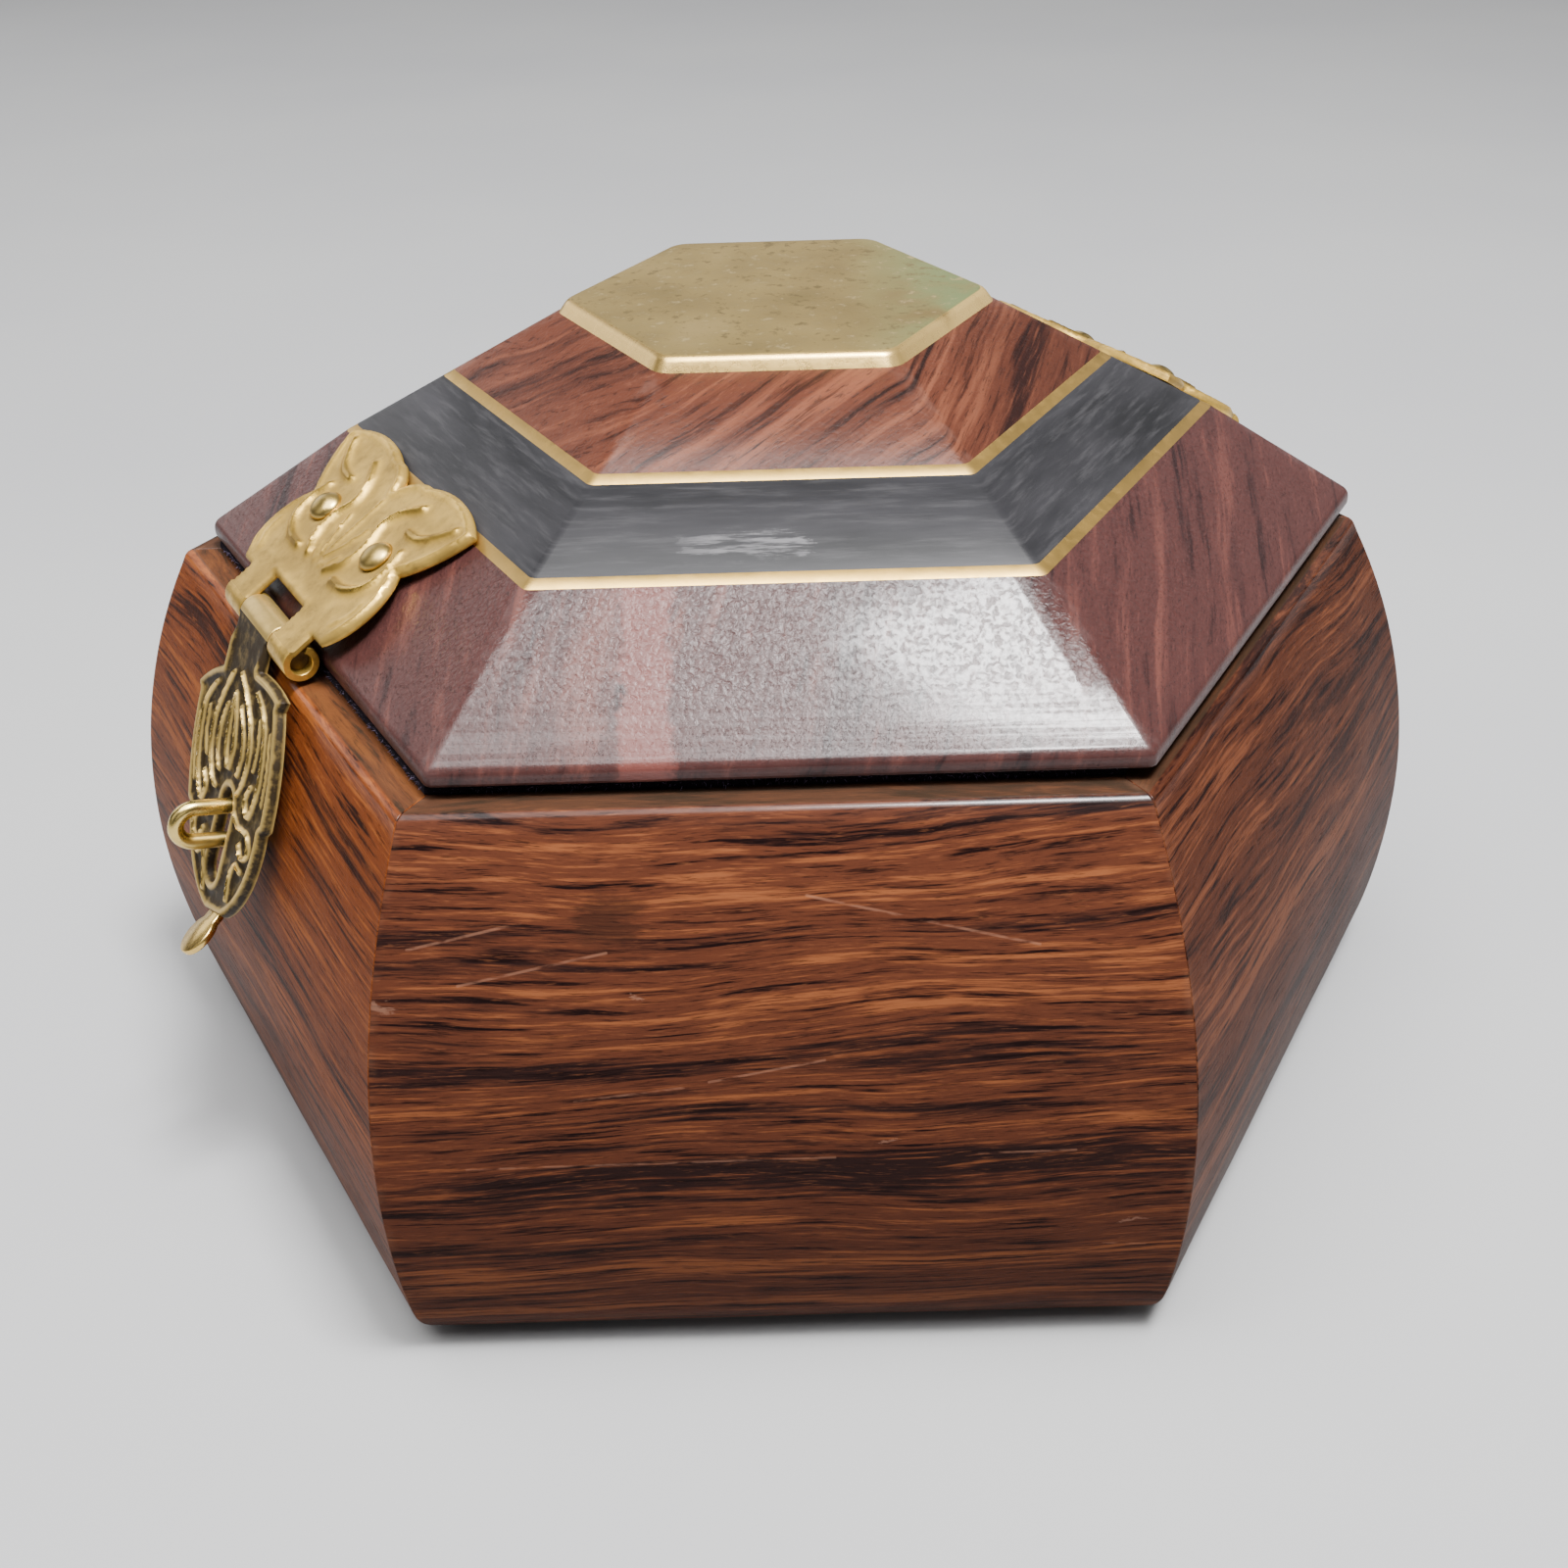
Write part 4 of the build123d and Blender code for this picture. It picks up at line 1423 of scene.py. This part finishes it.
# %% [markdown]
# ## Nails
# Six small round-headed nails hold the leaves, two in each. They are all alike, so Geometry Nodes
# place them: each point of a little cloud carries the way that its nail faces, and a nail made of
# a flattened half sphere and a shank is set on it. They were driven by hand, so each one leans a
# little.

# %% Nail tree
def new_tree(name, labels):
    """A geometry tree with named sizes, a function that adds nodes to it, and its inputs."""
    tree = bpy.data.node_groups.new(name, "GeometryNodeTree")
    tree.interface.new_socket("Geometry", in_out="INPUT", socket_type="NodeSocketGeometry")
    for label in labels:
        tree.interface.new_socket(label, in_out="INPUT", socket_type="NodeSocketFloat")
    tree.interface.new_socket("Geometry", in_out="OUTPUT", socket_type="NodeSocketGeometry")

    def add(kind, inputs=None, **settings):
        made = tree.nodes.new(kind)
        for key, value in settings.items():
            setattr(made, key, value)
        for key, value in (inputs or {}).items():
            if isinstance(value, bpy.types.NodeSocket):
                tree.links.new(value, made.inputs[key])
            else:
                made.inputs[key].default_value = value
        return made

    return tree, add, add("NodeGroupInput").outputs


def close_tree(tree, add, geometry, finish):
    """The end of a tree: its geometry gets its finish and leaves."""
    dressed = add("GeometryNodeSetMaterial", {"Geometry": geometry.outputs[0], "Material": finish})
    tree.links.new(dressed.outputs[0], add("NodeGroupOutput").inputs[0])
    print(tree.name, "has", len(tree.nodes), "nodes")
    return tree


def nail_tree(finish):
    """Round-headed nails on points that carry the way they face."""
    labels = ("Head radius", "Head height", "Shank radius", "Shank length")
    tree, add, given = new_tree("dome_nails", labels)
    ball = add("GeometryNodeMeshUVSphere", {"Segments": 28, "Rings": 16, "Radius": 1.0})
    size = add("ShaderNodeCombineXYZ", {
        "X": given["Head radius"], "Y": given["Head radius"], "Z": given["Head height"],
    })
    dome = add("GeometryNodeTransform", {"Geometry": ball.outputs["Mesh"], "Scale": size.outputs[0]})
    where = add("GeometryNodeInputPosition")
    split = add("ShaderNodeSeparateXYZ", {0: where.outputs[0]})
    under = add("ShaderNodeMath", {0: split.outputs["Z"], 1: 0.0}, operation="MAXIMUM")
    flat = add("ShaderNodeCombineXYZ", {
        "X": split.outputs["X"], "Y": split.outputs["Y"], "Z": under.outputs[0],
    })
    head = add("GeometryNodeSetPosition", {"Geometry": dome.outputs[0], "Position": flat.outputs[0]})
    shank = add("GeometryNodeMeshCylinder", {
        "Vertices": 16, "Radius": given["Shank radius"], "Depth": given["Shank length"],
    })
    half = add("ShaderNodeMath", {0: given["Shank length"], 1: -0.5}, operation="MULTIPLY")
    down = add("ShaderNodeCombineXYZ", {"Z": half.outputs[0]})
    sunk = add("GeometryNodeTransform", {"Geometry": shank.outputs["Mesh"], "Translation": down.outputs[0]})
    nail = add("GeometryNodeJoinGeometry")
    tree.links.new(head.outputs[0], nail.inputs[0])
    tree.links.new(sunk.outputs[0], nail.inputs[0])
    facing = add("GeometryNodeInputNamedAttribute", {"Name": "facing"}, data_type="FLOAT_VECTOR")
    turn = add("FunctionNodeAlignRotationToVector", {"Vector": facing.outputs[0]}, axis="Z")
    cloud = add("GeometryNodeMeshToPoints", {"Mesh": given["Geometry"]})
    placed = add("GeometryNodeInstanceOnPoints", {
        "Points": cloud.outputs[0], "Instance": nail.outputs[0], "Rotation": turn.outputs[0],
    })
    real = add("GeometryNodeRealizeInstances", {"Geometry": placed.outputs[0]})
    smooth = add("GeometryNodeSetShadeSmooth", {"Geometry": real.outputs[0]})
    return close_tree(tree, add, smooth, finish)


def grown(name, points, faces, marks, tree, sizes, finish):
    """A plain mesh from a cloud or surface with a node tree on it."""
    holder = linked(name + "_seed", plain_mesh(name + "_seed", points, faces, marks))
    modifier = holder.modifiers.new("grow", "NODES")
    modifier.node_group = tree
    for item in tree.interface.items_tree:
        if item.in_out == "INPUT" and item.name in sizes:
            modifier[item.identifier] = sizes[item.name]
    bpy.context.view_layer.update()
    ready = holder.evaluated_get(bpy.context.evaluated_depsgraph_get())
    mesh = bpy.data.meshes.new_from_object(ready)
    mesh.name = name
    mesh.materials.clear()
    mesh.materials.append(finish)
    holder.modifiers.remove(modifier)
    bpy.data.objects.remove(holder)
    return linked(name, mesh)


nail_sizes = {
    "Head radius": 1.5 * MM, "Head height": 0.9 * MM, "Shank radius": 0.6 * MM, "Shank length": 6.1 * MM,
}
nail_brass = brass("nail_brass", (0.64, 0.45, 0.14), (0.37, 0.255, 0.08), 0.9, 0.24, 0.46)
nail_maker = nail_tree(nail_brass)

# %% [markdown]
# A nail's seat lies on its leaf, and its facing is the way from the seat to a tip 1 mm above it.
# The tip is shifted a little, which makes the lean. The nails on the lid are one mesh and those
# on the wall another, because each mesh rides on one body.

# %% Nails
nail_sides = (-1, 1)
hasp_leans = ((0.05, 0.10), (-0.04, 0.09))
hinge_leans = ((0.06, -0.03), (-0.05, 0.04))
lid_seats = []
lid_facings = []
for pin, angle, leans in (
    (hasp_pin_place, hasp_angle, hasp_leans),
    (hinge_pin_place, hinge_angle, hinge_leans),
):
    for side, lean in zip(nail_sides, leans):
        x, y = leaf_nail * (side, 1)
        ends = [(x, y, knuckle_radius), (x + lean[0], y + lean[1], knuckle_radius + 1)]
        seat, tip = laid(ends, pin, angle, leaf_tilt)
        lid_seats.append(seat)
        lid_facings.append(tip - seat)
lid_nails = grown("lid_nails", lid_seats, [], {"facing": lid_facings}, nail_maker, nail_sizes, nail_brass)
settle(lid_nails, "lid", ["hasp_lid_nails", "hinge_lid_nails"])
body_lean = 1.01
body_seats = on_wall([(s * leaf_nail[0], leaf_nail[1], leaf_sheet) for s in nail_sides])
body_tips = on_wall([(s * leaf_nail[0] * body_lean, leaf_nail[1], leaf_sheet + 1) for s in nail_sides])
body_facings = body_tips - body_seats
body_nails = grown("body_nails", body_seats, [], {"facing": body_facings}, nail_maker, nail_sizes, nail_brass)
settle(body_nails, "box", ["hinge_body_nails"])

# %% [markdown]
# The floor board is let into the staves from below and is seen only when the box is turned over,
# so the solid itself is kept and takes a plain brown rosewood with little gloss.

# %% Floor board
floor_turn = (0, math.radians(90), 0)
floor_shift = (5.0, 71.0, 13.0)
dress("floor_board", rosewood("rosewood_floor", floor_turn, floor_shift, red_brown))

# %% [markdown]
# ## The velvet
# The inside is lined with black velvet over thin card, and the wall panels are turned over the
# rim, where a dark soft edge shows in the gap under the lid. The cloth is almost black, with a
# very faint purple sheen. The fibres of the nap use the same finish in a paler tone, because lint
# and dust sit on their ends.

# %% Velvet finish
def velvet_cloth(name, lint=1.0):
    """Black velvet; lint makes it paler."""
    cloth = Finish(name)
    place = cloth.place()
    nap = cloth.noise(place, 2.6, 4, 0.7)
    stroke = cloth.noise(place, 0.12, 3, 0.6)
    bare_tones = ((0.003, 0.0025, 0.004), (0.010, 0.008, 0.012), (0.014, 0.011, 0.018))
    thin, full, stroked = (shade(tone, lint, lint, lint) for tone in bare_tones)
    colour = cloth.ramp(nap, [(0.3, thin), (0.7, full)])
    colour = cloth.blend(stroke.between(0.45, 0.65) * 0.4, colour, stroked)
    return cloth.done(
        base_color=colour,
        roughness=0.95,
        specular_ior_level=0.1,
        sheen_weight=0.05,
        sheen_roughness=0.4,
        sheen_tint=(0.42, 0.36, 0.50, 1),
        normal=cloth.bump(nap, 0.12, 0.8),
    )


velvet = velvet_cloth("velvet_cloth")
velvet_edge = velvet_cloth("velvet_edge", 24.0)
print("velvet finish ready")

# %% [markdown]
# A wall panel is one cut of velvet: up the inside of its wall and out over the rim, to a slightly
# uneven cut edge. It is made as a thin closed form, with its section lofted along the wall as the
# staves are. Noise moves the cut edge in and out and sinks the fold a little here and there.

# %% Velvet panels
lining_low, lining_high = node_box("lining_front")
lining_face = 37.1
lining_top = lining_high[2]
lining_foot = lining_low[2]
lining_edge = -lining_low[1]
lining_stations = np.linspace(-1, 1, 45)
lining_gap = 0.02
rim_gap = 0.03
panel_section = soften(
    [
        (inner_apothem - lining_gap, lining_foot),
        (lining_face, lining_foot),
        (lining_face, lining_top - 0.05),
        (lining_edge - 0.1, lining_top - 0.05),
        (lining_edge - 0.05, body_height + rim_gap),
        (inner_apothem - lining_gap, body_height + rim_gap),
        (inner_apothem - lining_gap, lining_foot + 0.05),
    ],
    [0, 0.2, 0.7, 0.4, 0.15, 0, 0],
)
panel_rise = lining_top - lining_foot
panel_turn = lining_edge - lining_face
panel_area = 2 * half_side * (panel_rise * lining_face + panel_turn * (lining_edge + lining_face) / 2)
panel_side_gap = 0.05
cut_start = 39.0
cut_reach = 2.5
cut_depth = 0.28
fold_depth = 0.10

for order, (side, angle) in enumerate(stave_angles.items()):
    loops = []
    for t in lining_stations:
        cut = abs(noise.noise(Vector((t * 9.0 + order * 5.0, 1.7, order))) * cut_depth)
        loop = []
        for r, z in panel_section:
            sink = abs(noise.noise(Vector((t * 16.0, z * 0.4 + r * 0.4, order * 3.0))) * fold_depth)
            free = max(0.0, min(1.0, (r - cut_start) / cut_reach))
            top = 1.0 if z > body_height + 0.3 else 0.0
            loop.append(by_wall(angle, r - free * cut, t * (r - panel_side_gap) * half_side, z - top * sink))
        loops.append(loop)
    points, faces = loft(loops)
    panel = keep("velvet_" + side, points, faces, velvet, "box", ["lining_" + side], crease=60)
    "stave_" + side
    panel_area * MM ** 2

# %% [markdown]
# The floor panel and the panel under the lid are card with velvet drawn over it, a little fuller
# in the middle than at the edges, so both are low pads.

# %% Velvet pads
pad_rings = [
    (1.0, 0.0), (1.0, 0.45), (0.985, 0.62), (0.96, 0.72), (0.90, 0.80),
    (0.78, 0.87), (0.60, 0.93), (0.40, 0.97), (0.20, 0.99), (0.03, 1.0),
]
pad_dent = 0.05
pad_sink = 0.05


def velvet_pad(name, node, center, apothem, low, high, body):
    """A low six-sided pad between two levels, full on the side of the second one."""
    up = 1 if high > low else -1
    loops = []
    for share, height in pad_rings:
        width = apothem * share
        loop, _ = hexagon(width, min(2.0, width * 0.2), 24)
        level = low + (high - low) * height
        ring = []
        for x, y in loop:
            dent = noise.noise(Vector((x * 0.13, y * 0.13, min(low, high)))) * pad_dent * height
            ring.append((center[0] + x, center[1] + y, level - up * (dent + pad_sink) * height))
        loops.append(ring)
    points, faces = loft(loops)
    pad = keep(name, points, faces, velvet, body, [node], crease=60)


floor_low, floor_high = node_box("floor_lining")
floor_pad_apothem = floor_high[1] - 0.2
velvet_pad("velvet_floor", "floor_lining", (0, 0), floor_pad_apothem, floor_low[2], floor_high[2], "box")
under_low, under_high = node_box("lid_lining")
under_center = (under_low[:2] + under_high[:2]) / 2
under_apothem = (under_high[1] - under_low[1]) / 2
velvet_pad("velvet_lid", "lid_lining", under_center, under_apothem, under_high[2], under_low[2], "lid")

# %% [markdown]
# The nap on the cut edge is real: Geometry Nodes scatter short fibres over a strip along each
# turned edge, with a fixed seed, and each fibre is a tiny closed cone that leans its own way. A
# bump map would leave the edge straight.

# %% Velvet nap
def nap_tree(finish):
    """Short fibres scattered on a surface."""
    tree, add, given = new_tree("velvet_nap", ("Fibres per area", "Fibre length", "Fibre radius"))
    spread = add("GeometryNodeDistributePointsOnFaces", {
        "Mesh": given["Geometry"], "Density": given["Fibres per area"], "Seed": 11,
    })
    fibre = add("GeometryNodeMeshCone", {
        "Vertices": 3, "Radius Top": 0.0,
        "Radius Bottom": given["Fibre radius"], "Depth": given["Fibre length"],
    }, fill_type="NGON")
    lean = add("FunctionNodeRandomValue", {
        "Min": (-0.75, -0.75, 0.0), "Max": (0.75, 0.75, 6.2), "Seed": 12,
    }, data_type="FLOAT_VECTOR")
    turn = add("FunctionNodeRotateRotation", {
        "Rotation": spread.outputs["Rotation"], "Rotate By": lean.outputs[0],
    }, rotation_space="LOCAL")
    size = add("FunctionNodeRandomValue", {2: 0.45, 3: 1.25, "Seed": 13}, data_type="FLOAT")
    placed = add("GeometryNodeInstanceOnPoints", {
        "Points": spread.outputs["Points"], "Instance": fibre.outputs["Mesh"],
        "Rotation": turn.outputs[0], "Scale": size.outputs[1],
    })
    real = add("GeometryNodeRealizeInstances", {"Geometry": placed.outputs[0]})
    return close_tree(tree, add, real, finish)


nap_reach = 0.985
nap_foot = (lining_edge - 0.25, body_height + 0.25)
nap_head = (lining_edge - 0.3, lining_top - 0.3)
nap_points = []
nap_faces = []
for angle in stave_angles.values():
    start = len(nap_points)
    for r, z in (nap_foot, nap_head):
        for t in (-nap_reach, nap_reach):
            nap_points.append(by_wall(angle, r, t * r * half_side, z))
    nap_faces.append((start, start + 1, start + 3, start + 2))
nap_sizes = {"Fibres per area": 2.4e7, "Fibre length": 0.45 * MM, "Fibre radius": 0.035 * MM}
velvet_nap = grown("velvet_nap", nap_points, nap_faces, {}, nap_tree(velvet_edge), nap_sizes, velvet_edge)
settle(velvet_nap, "box", [])
